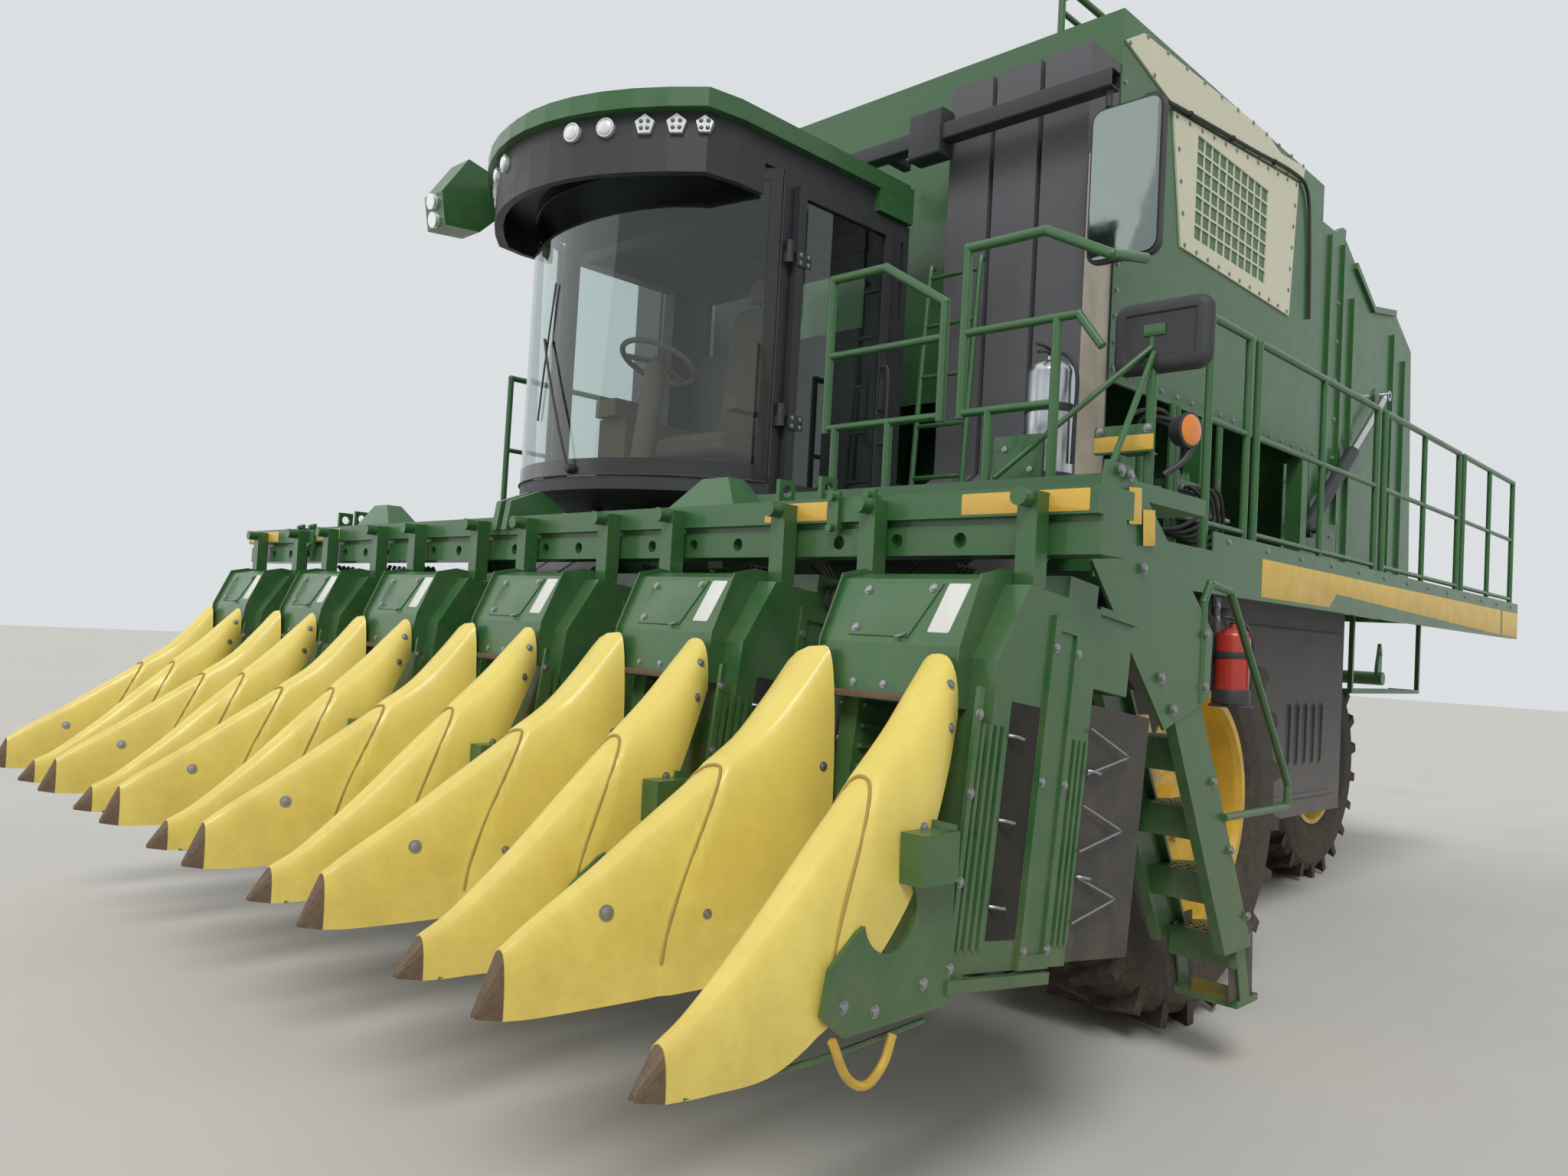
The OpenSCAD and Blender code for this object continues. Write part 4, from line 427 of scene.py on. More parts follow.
# Toolbar: prismatic reflecting tape on its upper beam, yellow with a fine honeycomb, and the black
# hoses that hang in loops behind it from unit to unit.
prismatic_tape = finish("prismatic_tape", "#d7a936", "#e0b545", roughness=0.3, coat=0.3, grain=260,
                        grain_depth=0.5, dusting=0.25, dust_top=3.0)
thin = (0.0012, 0.0004)    # a film's thickness and the rounding of its rims
beam_face, beam_z, hose_z = -2.3902, 2.088, 1.93
strips = [plate(rounded(w, 0.062, 0.004), [s * m, beam_face, beam_z], X, Z, *thin)
          for s in (-1, 1) for m, w in ((1.80, 0.29), (2.69, 0.42))]
make("toolbar_tape", "header", strips, prismatic_tape)
hydraulic_hose = finish("hydraulic_hose", "#17191b", "#232528", roughness=0.55, grain=500, dusting=0.2)
loops = []
for a, b in zip(row_x[1:], row_x):
    for j in range(4):
        drop, y = 0.10 + 0.035 * j, -2.13 + 0.028 * j
        sag = [[a + .20, y, 0], [a + .30, y + .02, -drop * .7], [a + .48, y + .03, -drop],
               [b - .25, y + .02, -drop * .8], [b - .12, y, 0]]
        loops.append(tube(through(np.array(sag) + hose_z * Z, 30), 0.011, 8))
for y, z in ((-2.165, 2.10), (-2.14, 2.075), (-2.165, 2.05), (-2.13, 2.035)):
    run = [[-2.6, y, z], [-1.4, y + .01, z - .01], [-.6, y, z], [.5, y + .012, z - .006], [1.5, y, z],
           [2.6, y, z]]
    loops.append(tube(through(run, 60), 0.013, 8))
make("toolbar_hoses", "header", loops, hydraulic_hose)

# Landing and ladder: enamelled green sheet with yellow tape on the stringer's front and on the mirror's
# bracket, blank yellow plates on the boomerang plate, grit pressed into the treads, rubber flaps below.
carrier_x = 2.6742    # the outer face of the plate that carries the ladder
stringer_tape = [[-.050, 0], [.050, 0], [.050, .30], [-.050, .30]]
tapes = [plate(stringer_tape, [2.3432, -.93, 1.44], -Y, [0, .45, -.893], *thin),
         plate(rounded(.225, .055, .003), [2.525, -1.5202, 2.405], X, Z, *thin)]
make("landing_tapes", "chassis", tapes, prismatic_tape)
blanks = [plate(rounded(.085, .120, .005), [carrier_x, y, z], [0, .996, .087], [0, -.087, .996], *thin)
          for y, z in ((-1.700, 2.160), (-1.598, 2.098))]
make("landing_blanks", "chassis", blanks, yellow_enamel)
heads = [bolt([carrier_x, y, z], X, 0.013, 0.008) for y, z in
         ((-1.80, 2.262), (-1.74, 2.255), (-1.62, 1.96), (-1.46, 1.60), (-1.12, 1.76), (-1.11, 1.57),
          (-1.36, 1.49))]
heads += [bolt([2.6622, y, z], X, 0.012, 0.008) for y, z in ((-.98, 1.22), (-.80, .95), (-.62, .68))]
plates = [plate(rounded(.23, .10, .012), [2.525, -1.512, 2.42], X, Z, 0.008, 0.002),
          plate(rounded(.21, .18, .012), [2.155, -1.606, 2.36], X, Z, 0.006, 0.002),
          plate([[0, 0], [.11, 0], [.11, .07], [0, .07]], [2.50, -1.504, 2.372], X, Y, 0.006, 0.001)]
make("landing_brackets", "chassis", plates, green_enamel)
heads += [bolt([x, -1.607, z], -Y, 0.013, 0.009) for x, z in ((2.10, 2.40), (2.21, 2.32))]
heads += [bolt([x, -1.521, 2.452], -Y, 0.011, 0.007) for x in (2.435, 2.615)]
make("landing_bolts", "chassis", heads, zinc_plate)
tread_run, tread_rise = .172, .262
grips = []
for i in range(4):
    for dx in np.linspace(-.118, .118, 9):
        for dy in np.linspace(.018, .20, 6):
            if math.hypot(dx, max(0, dy - .108)) < .118:
                at = [2.512 + dx, -1.170 + i * tread_run + dy, 1.376 - i * tread_rise]
                grips.append(turned([[.0075, 0], [.0072, .002], [.0045, .0032]], at, Z, 6))
grip_steel = finish("worn_grip_steel", "#9aa19a", "#c0c4bb", roughness=0.45, metallic=0.4, grain=300,
                    dusting=0.35)
make("tread_grips", "chassis", grips, grip_steel)
flap = [[-.70, .335], [-.48, .335], [-.50, .62], [-.72, .62]]
flaps = [plate(flap, [x, .06, 0], Y, Z, .006, .002) for x in (2.354, 2.606)]
make("ladder_flaps", "chassis", flaps, ribbed_rubber)

# Amber marker lamp: a black cup on a short bent arm beside the mirror's post, with a ribbed plastic
# lens clipped into its rim.
amber_lens = finish("amber_polycarbonate", "#e07a10", "#ee8c1c", roughness=0.12, coat=0.6, grain=240,
                    grain_depth=0.3, dusting=0.05, spots=0.0)
satin_black = finish("satin_black", "#22262c", "#2c3036", roughness=0.42, grain=500, dusting=0.12)
marker, marker_faces = [2.70, -1.385, 2.46], [.980, -.198, 0]


def quarter(r, z, h, first, last, count):
    """A profile along a quarter ellipse: r cos a and z + h sin a at even steps between two angles."""
    return [[r * math.cos(a), z + h * math.sin(a)] for a in np.linspace(first, last, count)]


bowl = [[.030, -.055], [.050, -.048], [.062, -.010], [.064, .006], [.057, .009]]
cup = [turned(bowl, marker, marker_faces, 32),
       tube(through([[2.70, -1.36, 2.41], [2.69, -1.40, 2.35], [2.64, -1.44, 2.30]], 16), .012, 10)]
make("marker_lamp_cup", "chassis", cup, satin_black)
marker_dome = [turned([[.056, .006]] + quarter(.056, .006, .012, 0.15, 1.5, 10), marker, marker_faces, 32)]
make("marker_lamp_lens", "chassis", marker_dome, amber_lens)


# Deck fascia: a blank yellow nameplate runs into a stripe that widens rearwards to a block at the end,
# all film on the green sheet, under a row of zinc bolts.
def on_wall(outline, s, x, y, z, thick, edge):
    """A plate that lies outwards from the wall at x on side s, its outline along y and z."""
    return plate(outline, [s * x - (thick if s < 0 else 0), y, z], Y, Z, thick, edge)


band = [[.55, 1.992], [1.50, 1.992], [1.61, 2.072], [5.33, 1.985], [5.33, 2.182], [.55, 2.182]]
tail_block = [[5.39, 1.985], [5.89, 1.985], [5.89, 2.182], [5.39, 2.182]]
deck_x, bolts_z = 2.2004, 2.225
stripes = [on_wall(outline, s, deck_x, 0, 0, *thin) for s in (-1, 1) for outline in (band, tail_block)]
make("deck_stripes", "chassis", stripes, yellow_enamel)
heads = [bolt([s * (deck_x + .0002), y, bolts_z], s * X, 0.011, 0.007)
         for s in (-1, 1) for y in np.arange(.15, 5.9, .46)]
make("deck_bolts", "chassis", heads, zinc_plate)

# Cab glass: the curved windscreen's black ceramic border, fired onto the pane, and the rubber beads
# that seal it to the pillars and the sill.
pane_r, pane_y, bead_r = .9474, -1.2026, .953    # the windscreen's radius and its centre's place


def bent(a0, a1, z0, z1, r, thick, count):
    """A curved strip: two arcs of the windscreen's circle, a thickness apart, between two heights."""
    a = np.radians(np.linspace(a0, a1, count))
    rings = [np.stack([q * np.sin(a), pane_y - q * np.cos(a), np.full(count, z)], 1)
             for q, z in ((r, z0), (r, z1), (r + thick, z1), (r + thick, z0))]
    return skin(np.array(rings).transpose(1, 0, 2))


def on_glass(a, z, off):
    """A point at an angle round the windscreen's arc, a height, and a distance off the pane."""
    a = np.radians(a)
    return np.array([(pane_r + off) * np.sin(a), pane_y - (pane_r + off) * np.cos(a), z])


edges = [(-64.6, 64.6, 2.343, 2.420, 48), (-64.6, 64.6, 3.700, 3.757, 48), (-61.2, -64.6, 2.420, 3.700, 4),
         (61.2, 64.6, 2.420, 3.700, 4)]
frit = [bent(a0, a1, z0, z1, pane_r + .0002, .0012, count) for a0, a1, z0, z1, count in edges]
frit_black = finish("fired_ceramic_black", "#0d0f11", "#131517", roughness=0.18, coat=0.5, grain=900,
                    dusting=0.06, spots=0.0)
make("windscreen_border", "chassis", frit, frit_black)
beads = [tube([on_glass(65.0 * s, z, bead_r - pane_r) for z in np.linspace(2.36, 3.74, 12)], .0045, 8)
         for s in (-1, 1)]
beads.append(tube([on_glass(a, 2.345, bead_r - pane_r) for a in np.linspace(-64, 64, 40)], .004, 8))
make("windscreen_beads", "chassis", beads, ribbed_rubber)

# Windscreen wiper: a pressed black arm from a spindle below the pane, its blade on a small yoke.
# Each place is an angle round the glass, a height and a distance off it.
spindle = turned([[.022, 0], [.022, .02], [.016, .034], [.008, .036]], on_glass(8, 2.372, 0.0),
                 on_glass(8, 0, 1) - on_glass(8, 0, 0), 20)
arm = [on_glass(*q) for q in ((8, 2.372, .028), (4, 2.56, .036), (-3, 2.84, .030), (-7, 3.0, .024))]
blade = [on_glass(*q) for q in ((-10, 2.62, .009), (-8, 2.83, .010), (-6, 3.04, .010), (-4, 3.26, .009))]
yoke = [on_glass(*q) for q in ((-7, 3.0, .024), (-7.1, 2.985, .016), (-7.2, 2.97, .010))]
wiper = [spindle, tube(through(arm, 28), .006, 8), tube(through(blade, 28), .005, 6), tube(yoke, .007, 6)]
make("windscreen_wiper", "chassis", wiper, satin_black)

# Cab door: a bent grab handle and a latch plate on the frame, and pressed hinge straps with four zinc
# bolts each; they ride on the door.
handle_line = [[.905, -.915, 2.62], [.945, -.915, 2.64], [.950, -.915, 2.80], [.945, -.915, 2.98],
               [.905, -.915, 3.0]]
hinge_heights, door_x, strap_y = (2.626, 3.366), .9022, -1.497
handle = [tube(through(handle_line, 30), .009, 10),
          plate(rounded(.040, .15, .012), [door_x, -.905, 2.86], Y, Z, .012, .004)]
handle += [plate(rounded(.09, .07, .010), [door_x, strap_y, z], Y, Z, .006, .002) for z in hinge_heights]
make("door_handle", "cab_door", handle, satin_black)
heads = [bolt([door_x + .0062, strap_y + dy, z + dz], X, 0.007, 0.005) for z in hinge_heights
         for dy, dz in ((-.025, .018), (.025, .018), (-.025, -.018), (.025, -.018))]
make("door_bolts", "cab_door", heads, zinc_plate)

# Ladder to the roof: two rails of bent steel tube beside the rear of the cab, with five rungs welded
# between them, painted green.
rail = [[0, -.70, 2.36], [0, -.69, 2.60], [0, -.66, 3.10], [0, -.63, 3.52], [0, -.60, 3.56]]
rails_x = (.955, 1.255)
rungs = ((-.697, 2.48), (-.683, 2.74), (-.667, 2.99), (-.650, 3.25), (-.632, 3.50))
steps = [tube(through(np.array(rail) + x * X, 40), .014, 12) for x in rails_x]
steps += [tube([[x, y, z] for x in rails_x], .011, 10) for y, z in rungs]
make("roof_ladder", "chassis", steps, green_enamel)


# Operator's seat: woven cloth over moulded foam, sewn seams and channels, a head rest on its back, and a
# black moulded shell behind and below that bolts to the cab's floor.
def cushion(centre, u, v, half, channels=(), crown=0.45, rim=0.22):
    """A crowned closed form: each coordinate is its half size times a power of the sine and cosine of a
    latitude and a longitude, small powers for square sides and larger for the crown. Its sides pull in
    by a few per cent between the corners, and sewn channels press its faces down along x."""
    u, v = np.array(u, float), np.array(v, float)
    w = np.cross(u, v)
    lat = np.radians(np.linspace(-89.9, 89.9, 41))[:, None]
    lon = np.radians(np.linspace(0, 360, 96, endpoint=False))[None]

    def power(q, e):
        return np.sign(q) * np.abs(q) ** e

    x = power(np.cos(lat), crown) * power(np.cos(lon), rim)
    y = power(np.cos(lat), crown) * power(np.sin(lon), rim)
    z = power(np.sin(lat), 0.62) + 0 * lon
    pull = 1 - 0.035 * (1 - np.abs(z)) * (1 - (x * y) ** 2)
    seam = 1 - 0.02 * np.exp(-(np.sin(lat) / 0.06) ** 2)
    press = sum(0.16 * np.exp(-((x - c) / 0.035) ** 2) for c in channels) * (np.abs(z) > 0.3)
    z = z * (1 - press) * (1 - 0.10 * (x ** 2 + y ** 2) / 2)
    shares = (x * pull * seam, y * pull * seam, z)
    return skin(np.array(centre) + sum((q * a)[..., None] * way for q, a, way in zip(shares, half, (u, v, w))))


woven_trim = finish("woven_trim", "#7f6c5b", "#94806d", roughness=0.9, grain=1200, grain_depth=0.5,
                    dusting=0.1)
back = np.array([0, .09, .77]) / math.hypot(.09, .77)
head = np.array([0, .03, .16]) / math.hypot(.03, .16)
cushions = [("seat_cushion", [0, -1.13, 2.612], X, Y, (.27, .25, .078), (-.55, .55)),
            ("seat_back", [0, -.876, 3.085], X, back, (.25, .39, .045), (-.55, .55)),
            ("head_rest", [0, -.818, 3.560], X, head, (.15, .072, .030), ())]
for name, centre, u, v, half, channels in cushions:
    pad = make(name, "chassis", [cushion(centre, u, v, half, channels)], woven_trim, sharp=80)
    if name == "seat_cushion":
        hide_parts("seat")
shell = [plate(rounded(.44, .70, .06), [0, -.842, 3.06], X, back, .012, .004),
         plate(rounded(.50, .46, .05), [0, -1.13, 2.525], X, Y, .012, .004)]
shell += [tube([[x, -.845, 3.43], [x, -.832, 3.50], [x, -.822, 3.54]], .006, 8) for x in (-.05, .05)]
make("seat_shell", "chassis", shell, satin_black)

# Fire extinguishers: spun bottles, one of bare polished steel and one red, each with a black valve, two
# lever strips and a hose down its side, in a band and a cup; the red one stands on a bolted bracket.
red_enamel = finish("red_enamel", "#b02a20", "#bd352a", roughness=0.22, coat=0.4, grain=420, dusting=0.1)
bare_steel = finish("polished_stainless", "#b9bdc0", "#c9cdd0", roughness=0.2, metallic=1.0, grain=700,
                    grain_depth=0.05, dusting=0.08, spots=0.0)
kits = []
for name, x, y, z, r, h, paint in (("steel_bottle", 2.216, -1.50, 2.2502, .088, .50, bare_steel),
                                   ("red_bottle", 2.285, .04, 1.4712, .076, .36, red_enamel)):
    foot = [[r * .90, 0], [r * .96, .012], [r * .97, .022], [r, .030]]
    shoulder, neck = quarter(r, h - .72 * r, .62 * r, 0, 1.25, 9), [[.020, h - .02], [.020, h + .004]]
    made = make(name, "chassis", [turned(foot + shoulder + neck, [x, y, z], Z, 48)], paint)
    if name == "steel_bottle":
        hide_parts("extinguishers")
    top = z + h
    levers = [[[x, y, top + .012], [x, y - .05, top + .016], [x, y - .10, top + .002]],
              [[x, y, top + .026], [x, y - .055, top + .034], [x, y - .11, top + .030]]]
    hose = [[x, y, top + .010], [x + .05, y, top + .010], [x + r + .016, y, top - .07],
            [x + r + .014, y, z + h * .45], [x + r + .012, y, z + h * .2]]
    strap = [[r + .004, 0], [r + .005, .004], [r + .005, .026], [r + .004, .030], [r + .001, .030],
             [r + .001, 0]]
    socket = [[r + .006, 0], [r + .007, .010], [r + .007, .060], [r + .005, .066], [r + .001, .066],
              [r + .001, 0]]
    kits += [turned([[.018, 0], [.018, .026], [.013, .030]], [x, y, top], Z, 16)]
    kits += [tube(through(lever, 12), .007, 8) for lever in levers] + [tube(through(hose, 40), .008, 8)]
    kits += [turned(strap, [x, y, z + h * .58], Z, 48), turned(socket, [x, y, z + .001], Z, 48)]
hang = [plate(rounded(.16, .155, .02), [2.287, .04, 1.4572], X, Y, .0135, .003),
        plate(rounded(.05, .50, .008), [2.2016, .04, 1.705], Y, Z, .008, .002)]
make("bottle_fittings", "chassis", kits + hang, satin_black)
heads = [bolt([2.2096, .04, z], X, .010, .006) for z in (1.86, 1.92)]
make("bottle_bolts", "chassis", heads, zinc_plate)


# Mirrors: a square tube boom with a wide flange carries the tall one, and a post on the landing carries
# the wide one. Dark plastic shells with round corners, a recess in each back, glass in front.
def shell_of(w, h, depth, r, at, u, v):
    """A mirror's shell: the rounded outline swept along u x v, drawn in by a quarter ellipse at its back,
    whose middle is sunk 6 mm inside a bead."""
    rings = []
    for grow, d in ((-.004, 0), (0, .004), (0, depth * .45), (-.006, depth * .75), (-.020, depth * .95),
                    (-.034, depth), (-.046, depth), (-.052, depth - .006)):
        o = rounded(w + 2 * grow, h + 2 * grow, max(.004, r + grow), 7)
        rings.append(np.array(at) + o[:, :1] * u + o[:, 1:] * v + d * np.cross(u, v))
    return skin(np.array(rings))


boom_y, boom_z = -.560, 4.270
bore, pipe = rounded(.074, .074, .006, 5), rounded(.088, .088, .010, 5)
sleeve = [np.array([[x, boom_y + a, boom_z + b] for a, b in q])
          for x, q in ((1.3, bore), (1.3, pipe), (1.899, pipe), (1.899, bore))]
beam = [plate(rounded(.088, .088, .010), [.2, boom_y, boom_z], Y, Z, 1.10, .002),
        plate(rounded(.122, .246, .02), [.76, boom_y, boom_z + .005], Y, Z, .20, .004),
        skin(np.array(sleeve), loop=True)]
beam += [plate(rounded(.05, .05, .006), [x, -.35, boom_z], X, Z, .20, .002) for x in (.34, .54)]
beam += [tube([[1.87, boom_y, 4.225], [1.87, boom_y, 4.146]], .017, 16)]
make("mirror_arms", "chassis", beam, satin_black)
post_foot, post_top = [2.60, -1.475, 2.2503], [2.60, -1.475, 2.79]
posts = [tube([post_foot, post_top], .018, 20),
         tube([[2.20, -1.82, 2.262], [2.60, -1.49, 2.74]], .011, 12),
         tube([[2.63, -1.80, 2.262], [2.61, -1.49, 2.72]], .011, 12),
         turned([[.045, 0], [.045, .006], [.024, .008]], post_foot, Z, 20),
         plate([[-.03, -.02], [.05, -.02], [.05, .02], [-.03, .02]], [2.60, -1.490, 2.80], X, Z, .006, .002)]
make("mirror_posts", "chassis", posts, green_enamel)
wide_mirror, tall_mirror = np.array([2.63, -1.452, 2.78]), np.array([1.97, -.572, 3.784])
backs = [shell_of(.356, .256, .045, .05, wide_mirror, X, Z), shell_of(.356, .72, .060, .06, tall_mirror, -X, Z)]
moulded_black = finish("moulded_black", "#2a2d31", "#33363a", roughness=0.5, grain=700, grain_depth=0.3,
                       dusting=0.15)
shells = make("mirror_shells", "chassis", backs, moulded_black)
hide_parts("mirrors")
# The glass is dimmed and tinted grey-green: a painted reflection of the green machine, laid over its real
# mirror reflection.
green_reflection_mirror = finish("mirror_glass_with_painted_green", "#7f8a86", "#8a9490", roughness=0.03, metallic=1.0, grain=900,
                grain_depth=0.0, dusting=0.04, spots=0.0)
faces = [plate(rounded(.33, .23, .04), wide_mirror + .003 * Y, -X, Z, .003, .001),
         plate(rounded(.33, .69, .05), tall_mirror - .005 * Y, X, Z, .003, .001)]
make("mirror_glasses", "chassis", faces, green_reflection_mirror)


# Roof lamps: chromed bezels set along the roof's curved front; each five-sided one has four small domes
# over its diodes, each round one a clear dome.
def bulge(r, h):
    """A lens's profile: a short rim, then a quarter ellipse of radius r and height h."""
    return [[r, -.003]] + quarter(r, 0, h, 0, 1.45, 6)


lamp_half, roof_front, roof_side, lamp_z = 0.810, -2.420, -2.070, 3.820
lamps = ((.270, .042, False), (.430, .042, False), (.590, .046, True), (.705, .046, True), (.800, .040, True))
domes, diodes = [], []
for s in (-1, 1):
    for x, r, has_diodes in lamps:
        at = [s * x, roof_side + .040 - (roof_side - roof_front) * (1 - (x / lamp_half) ** 2), lamp_z]
        turn = math.atan(2 * (roof_side - roof_front) * s * x / lamp_half ** 2)
        outward = np.array([math.sin(turn), -math.cos(turn), 0])
        aside = np.array([math.cos(turn), math.sin(turn), 0])
        at = at + outward * .016
        if has_diodes:
            diodes += [turned(bulge(.010, .005), at + aside * dx + dz * Z, outward, 12)
                       for dx, dz in ((-.016, .014), (.016, .014), (-.014, -.016), (.014, -.016))]
        else:
            domes.append(turned(bulge(r * .86, .012), at, outward, 28))
lamp_glass = finish("ribbed_lamp_glass", "#dfe3e4", "#eceeee", roughness=0.1, metallic=0.3, coat=0.6,
                    grain=240, grain_depth=0.35, dusting=0.05, spots=0.0)
dress(lamp_glass, "roof_lamps")
make("roof_lamp_domes", "chassis", domes, lamp_glass)
diode_glass = finish("smoked_diode_domes", "#4c4a3c", "#5d5a48", roughness=0.1, coat=0.6, grain=500,
                     dusting=0.05, spots=0.0)
make("roof_lamp_diodes", "chassis", diodes, diode_glass)

# Bay behind the landing: two filter canisters on a bracket, a valve block with capped spools, upright
# steel pipes and the black hoses that loop between them.
canister = [[.045, -.01], [.062, 0], [.062, .25], [.05952, .268], [.0434, .285], [.030, .292], [.030, .315],
            [.018, .32]]
cap, nut = [[.018, 0], [.018, .03], [.013, .045], [.013, .06]], [[.020, 0], [.020, .022], [.015, .026]]
spools = [.62 + .055 * k for k in range(5)]
cans = [turned(canister, [1.66, y, 2.46], Z, 32) for y in (.10, .30)]
cans += [plate(rounded(.46, .11, .015), [1.655, .20, 2.452], Y, X, .012, .003),
         plate(rounded(.30, .20, .015), [1.60, .72, 2.52], Y, Z, .12, .004)]
cans += [turned(cap, [1.66, y - .01, 2.62], Z, 14) for y in spools]
cans += [tube([[x, y, 2.172], [x, y, 2.60], [x, y, 2.999]], .019, 14)
         for x, y in ((1.72, .50), (1.72, .56), (1.66, .98), (1.74, 1.04))]
make("bay_valves", "chassis", cans, green_enamel)
lines = [tube([[1.78, -.30, z], [1.78, .40, z], [1.78, 1.10, z]], .014, 12) for z in (2.40, 2.44)]
lines += [turned(nut, [1.72, y, 2.57], X, 6) for y in spools]
make("bay_pipes", "chassis", lines, zinc_plate)
loops = []
for k, y in enumerate(spools):
    run = [[1.74, y, 2.57], [1.80 + .01 * k, y, 2.56], [1.84, y + .05, 2.46 - .03 * k],
           [1.82, y - .18, 2.34 - .02 * k], [1.76, y - .42, 2.30], [1.70, y - .58, 2.26]]
    loops.append(tube(through(run, 40), .011, 8))
for k in range(3):
    y = .1 * k
    run = [[1.66, y + .10, 2.78], [1.70, y + .12, 2.88], [1.74, y + .30, 2.93 - .03 * k],
           [1.72, y + .48, 2.90], [1.68, .62 + .06 * k, 2.70]]
    loops.append(tube(through(run, 36), .012, 8))
make("bay_hoses", "chassis", loops, hydraulic_hose)

# Side tanks: grey moulded polyethylene, with five upright slots pressed into each outer wall, rounded
# lips round a near-black film that is the dark screen and the painted shade of the slot's depth together,
# and a moulded rib above and below them.
tank_x, slot_z = 1.700, 1.215
slot_ring = rounded(.062, .392, .030, 6)
slots, lips = [], []
for s in (-1, 1):
    for y in np.linspace(2.33, 2.89, 5):
        slots.append(on_wall(rounded(.050, .38, .025), s, tank_x + .0004, y, slot_z, *thin))
        path = [[s * (tank_x + .0012), y + a, slot_z + b] for a, b in [*slot_ring, slot_ring[0]]]
        lips.append(tube(path, .005, 6))
# Near-black film: in the slots it is the dark screen and painted shade together; on the units it is painted
# shade alone.
shade_and_screen_black = finish("slot_shadow_screen", "#0f1113", "#16181a", roughness=0.8, grain=700, dusting=0.1)
make("tank_slot_screens_and_shade", "chassis", slots, shade_and_screen_black)
grained_polyethylene = finish("grained_polyethylene", "#505157", "#5e6066", roughness=0.55, grain=700,
                              grain_depth=0.25, dusting=0.3, spots=0.05)
lips += [on_wall(rounded(1.94, .03, .012), s, tank_x, 2.22, z, .008, .004)
         for s in (-1, 1) for z in (1.875, .815)]
make("tank_lips", "chassis", lips, grained_polyethylene)

# Snout undersides: green skid rods of bent steel that run back from the noses to the units and keep the
# moulded shells off the soil.
rods = []
for x in row_x:
    for nose, heel in ((x - .262, x - .150), (x + .330, x + .366)):
        run = [[nose, -3.60, .744], [(nose + heel) / 2, -3.20, .741], [heel, -2.86, .760]]
        rods.append(tube(through(run, 16), .007, 6))
make("snout_skid_rods", "header", rods, green_enamel)

# Unit doors: painted shade as a near-black film where the access opening lies between the ribbed doors on
# each unit's left side, and the zinc spring hooks that hold the doors shut.
opening = [[-2.555, .93], [-2.415, .93], [-2.415, 1.55], [-2.555, 1.55]]
hook = [[.388, 0, 0], [.402, .015, 0], [.402, .05, -.004], [.388, .07, -.004]]
gaps, hooks = [], []
for x in row_x:
    # Each opening is a flat near-black film on the side wall: painted shade of the unit's inside.
    points, faces = plate(opening, [x + .3784, 0, 0], Y, Z, *thin)
    gaps.append((leaning(points), faces))
    for y, z in ((-2.57, 1.02), (-2.57, 1.24), (-2.57, 1.46), (-2.14, 1.10), (-2.14, 1.40)):
        hooks.append(tube(leaning(through(np.array(hook) + [x, y, z], 14)), .0045, 6))
make("unit_opening_painted_shades", "header", gaps, shade_and_screen_black)
make("unit_hooks", "header", hooks, zinc_plate)

# Ducts: a sheet of bare stainless steel lies flat along each outer side, over the moulded wall, with
# broad tan clouds in its colour that are a painted reflection.
shields = [on_wall(rounded(.25, 1.55, .01), s, 1.6934, -.292, 3.26, .0022, .0006) for s in (-1, 1)]
# The pale tone is the steel's own; the tan second tone mixed in clouds is painted reflection.
tan_reflection_steel = finish("stainless_with_painted_tan_reflection", "#c6c0b2", "#8f7f68", roughness=0.28, metallic=0.95,
                    grain=700, grain_depth=0.1, dusting=0.15, patch=3.0)
make("duct_shields", "chassis", shields, tan_reflection_steel)

# Rear lamps: a red and an amber plastic lens in a black base screwed to the end of each deck, all of
# them made as turned domes.
base = [[.055, 0], [.058, .012], [.052, .020]]
dome = [[.050, .018]] + quarter(.050, .020, .012, 0, 1.45, 7)
deck_end, lamps_z = 5.901, 2.085
outer_lamps, inner_lamps = ([[s * x, deck_end, lamps_z] for s in (-1, 1)] for x in (2.10, 1.95))
bases = [turned(base, at, Y, 32) for at in outer_lamps + inner_lamps]
reds, ambers = ([turned(dome, at, Y, 32) for at in lamps] for lamps in (outer_lamps, inner_lamps))
make("rear_lamp_bases", "chassis", bases, satin_black)
red_lens = finish("red_polycarbonate", "#b01c16", "#c02820", roughness=0.12, coat=0.6, grain=240,
                  grain_depth=0.3, dusting=0.05, spots=0.0)
make("rear_lamps_red", "chassis", reds, red_lens)
make("rear_lamps_amber", "chassis", ambers, amber_lens)

# Gate and chamber sides: rows of zinc bolts down the flanges of green sheet, between the fixed and the
# moving half.
chamber_x = 1.3502
heads = [bolt([s * chamber_x, y, z], s * X, .014, .009)
         for s in (-1, 1) for y in (3.06, 3.95) for z in np.arange(2.35, 4.75, .30)]
make("chamber_bolts", "chassis", heads, zinc_plate)


# Accumulator walls: zinc bolts round the pale panels, down the front flange and along the sill, and a
# black loom clipped along the upper panel.
def beaded(corners, inset, step):
    """Points at even steps along a closed outline that is drawn in towards its middle."""
    o = np.array(corners, float)
    o = o + (o.mean(0) - o) / np.linalg.norm(o.mean(0) - o, axis=1, keepdims=True) * inset
    out = []
    for p, q in zip(o, np.roll(o, -1, 0)):
        count = max(1, round(np.linalg.norm(q - p) / step))
        out += [p + (q - p) * t / count for t in range(count)]
    return out


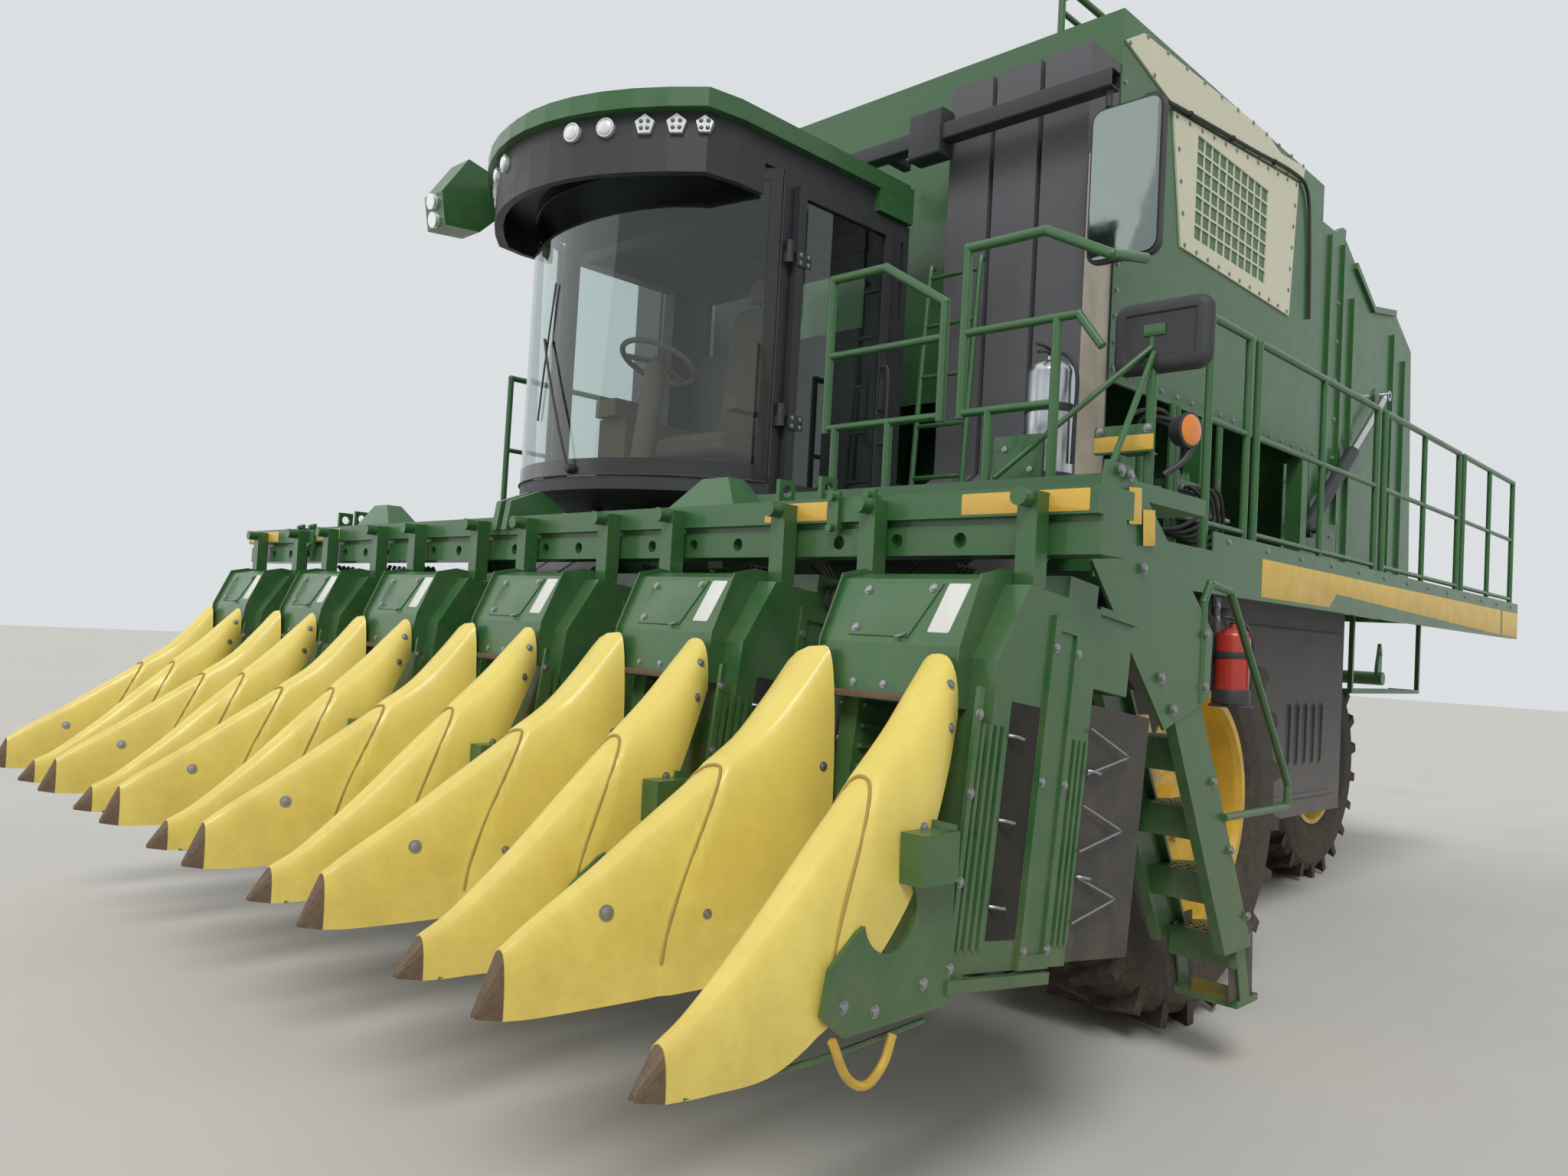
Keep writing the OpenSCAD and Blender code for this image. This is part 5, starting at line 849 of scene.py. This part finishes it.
panel_x, wall_x = 1.7102, 1.7002
lower_panel = [[.39, 4.53], [.54, 3.85], [2.05, 3.84], [2.13, 4.71]]
upper_panel = [[-.14, 4.69], [.04, 4.80], [1.44, 4.845], [2.23, 4.845], [2.20, 4.74], [.39, 4.56]]
heads = []
for s in (-1, 1):
    for y, z in beaded(lower_panel, .045, .15) + beaded(upper_panel, .04, .22):
        heads.append(bolt([s * panel_x, y, z], s * X, .009, .006))
    flange = [(-.11, z) for z in np.arange(3.06, 4.62, .13)] + [(y, 3.05) for y in np.arange(.05, 2.58, .18)]
    heads += [bolt([s * wall_x, y, z], s * X, .010, .007) for y, z in flange]
make("accumulator_bolts", "chassis", heads, zinc_plate)
loom_x = 1.722
run = [[1.712, .02, 4.02], [1.714, .06, 4.30], [1.716, .14, 4.52], [loom_x, .33, 4.545],
       [loom_x, .80, 4.600], [loom_x, 1.40, 4.665], [loom_x, 2.00, 4.735], [1.716, 2.26, 4.70],
       [1.712, 2.34, 4.40], [1.712, 2.38, 3.90]]
clip = [[.016, -.006], [.018, 0], [.016, .006]]
loom = [tube(through(run, 90), .011, 8)]
loom += [turned(clip, [loom_x, y, z], (0, 1, .14), 12)
         for y, z in ((.56, 4.572), (1.10, 4.632), (1.70, 4.700))]
make("accumulator_loom", "chassis", loom, hydraulic_hose)

# Rims: rolled and welded steel discs in yellow enamel, bolted to the hubs, browned by dust that lies
# thickest low down.
dress(yellow_enamel, "front_rims_left", "front_rims_right", "rear_rim_left", "rear_rim_right")

# Tyres: moulded carbon-black rubber with deep lugs, seated on the rims, dried soil in the tread and
# on the walls.
tread_rubber = finish("tread_rubber", "#1b1b1b", "#262524", roughness=0.72, grain=260, grain_depth=0.3,
                      dust="#75644c", dusting=0.42, dust_top=2.6, spots=0.1, patch=5)
dress(tread_rubber, "front_tyres_left", "front_tyres_right", "rear_tyre_left", "rear_tyre_right")

# Tanks and air ducts: rotationally moulded grey polyethylene with a fine matt grain, the same as the
# lips round the tanks' slots.
dress(grained_polyethylene, "side_tanks", "ducts", "duct_ends")

# Cab frame, door frame, roof visor, cylinders' barrels and the engine: pressed and welded steel in
# satin black paint.
dress(satin_black, "cab_shell", "cab_door", "roof_visor", "lift_barrels", "gate_barrels", "engine_block")

# Panes: tinted safety glass, clear and smooth, bonded to the cab's frame and to the door's.
# Light goes straight through both faces.
tinted_glass = bpy.data.materials.new("tinted_glass")
tinted_glass.use_nodes = True
pane = tinted_glass.node_tree.nodes["Principled BSDF"]
pane.inputs["Base Color"].default_value = linear("#dfe9e6")
pane.inputs["Roughness"].default_value = 0.0
pane.inputs["Transmission Weight"].default_value = 1.0
dress(tinted_glass, "cab_glass", "door_pane")

# Console and inner trim: vinyl and cloth in the seat's brown, moulded or glued to the cab's inner
# walls.
dress(woven_trim, "cab_interior")

# Cylinder rods: steel bars with hard chrome, ground and polished so that the barrel's seal slides on
# them.
hard_chrome = finish("hard_chrome", "#c4c8cc", "#d2d5d8", roughness=0.12, metallic=1.0, grain=900,
                     grain_depth=0.02, dusting=0.05, spots=0.0)
dress(hard_chrome, "lift_rods", "gate_rods")

# Accumulator's pale panels: steel sheet bolted to the green walls; their pale cream colour is a painted
# reflection of the bright sky on the green enamel.
# Pale cream for green panels: painted reflection of the sky, not the sheet's own paint.
painted_sky_reflection_cream = finish("painted_sky_reflection_cream", "#d4d3b6", "#dedcc4", roughness=0.4, coat=0.1, grain=420, dusting=0.12)
dress(painted_sky_reflection_cream, "accumulator_panels")
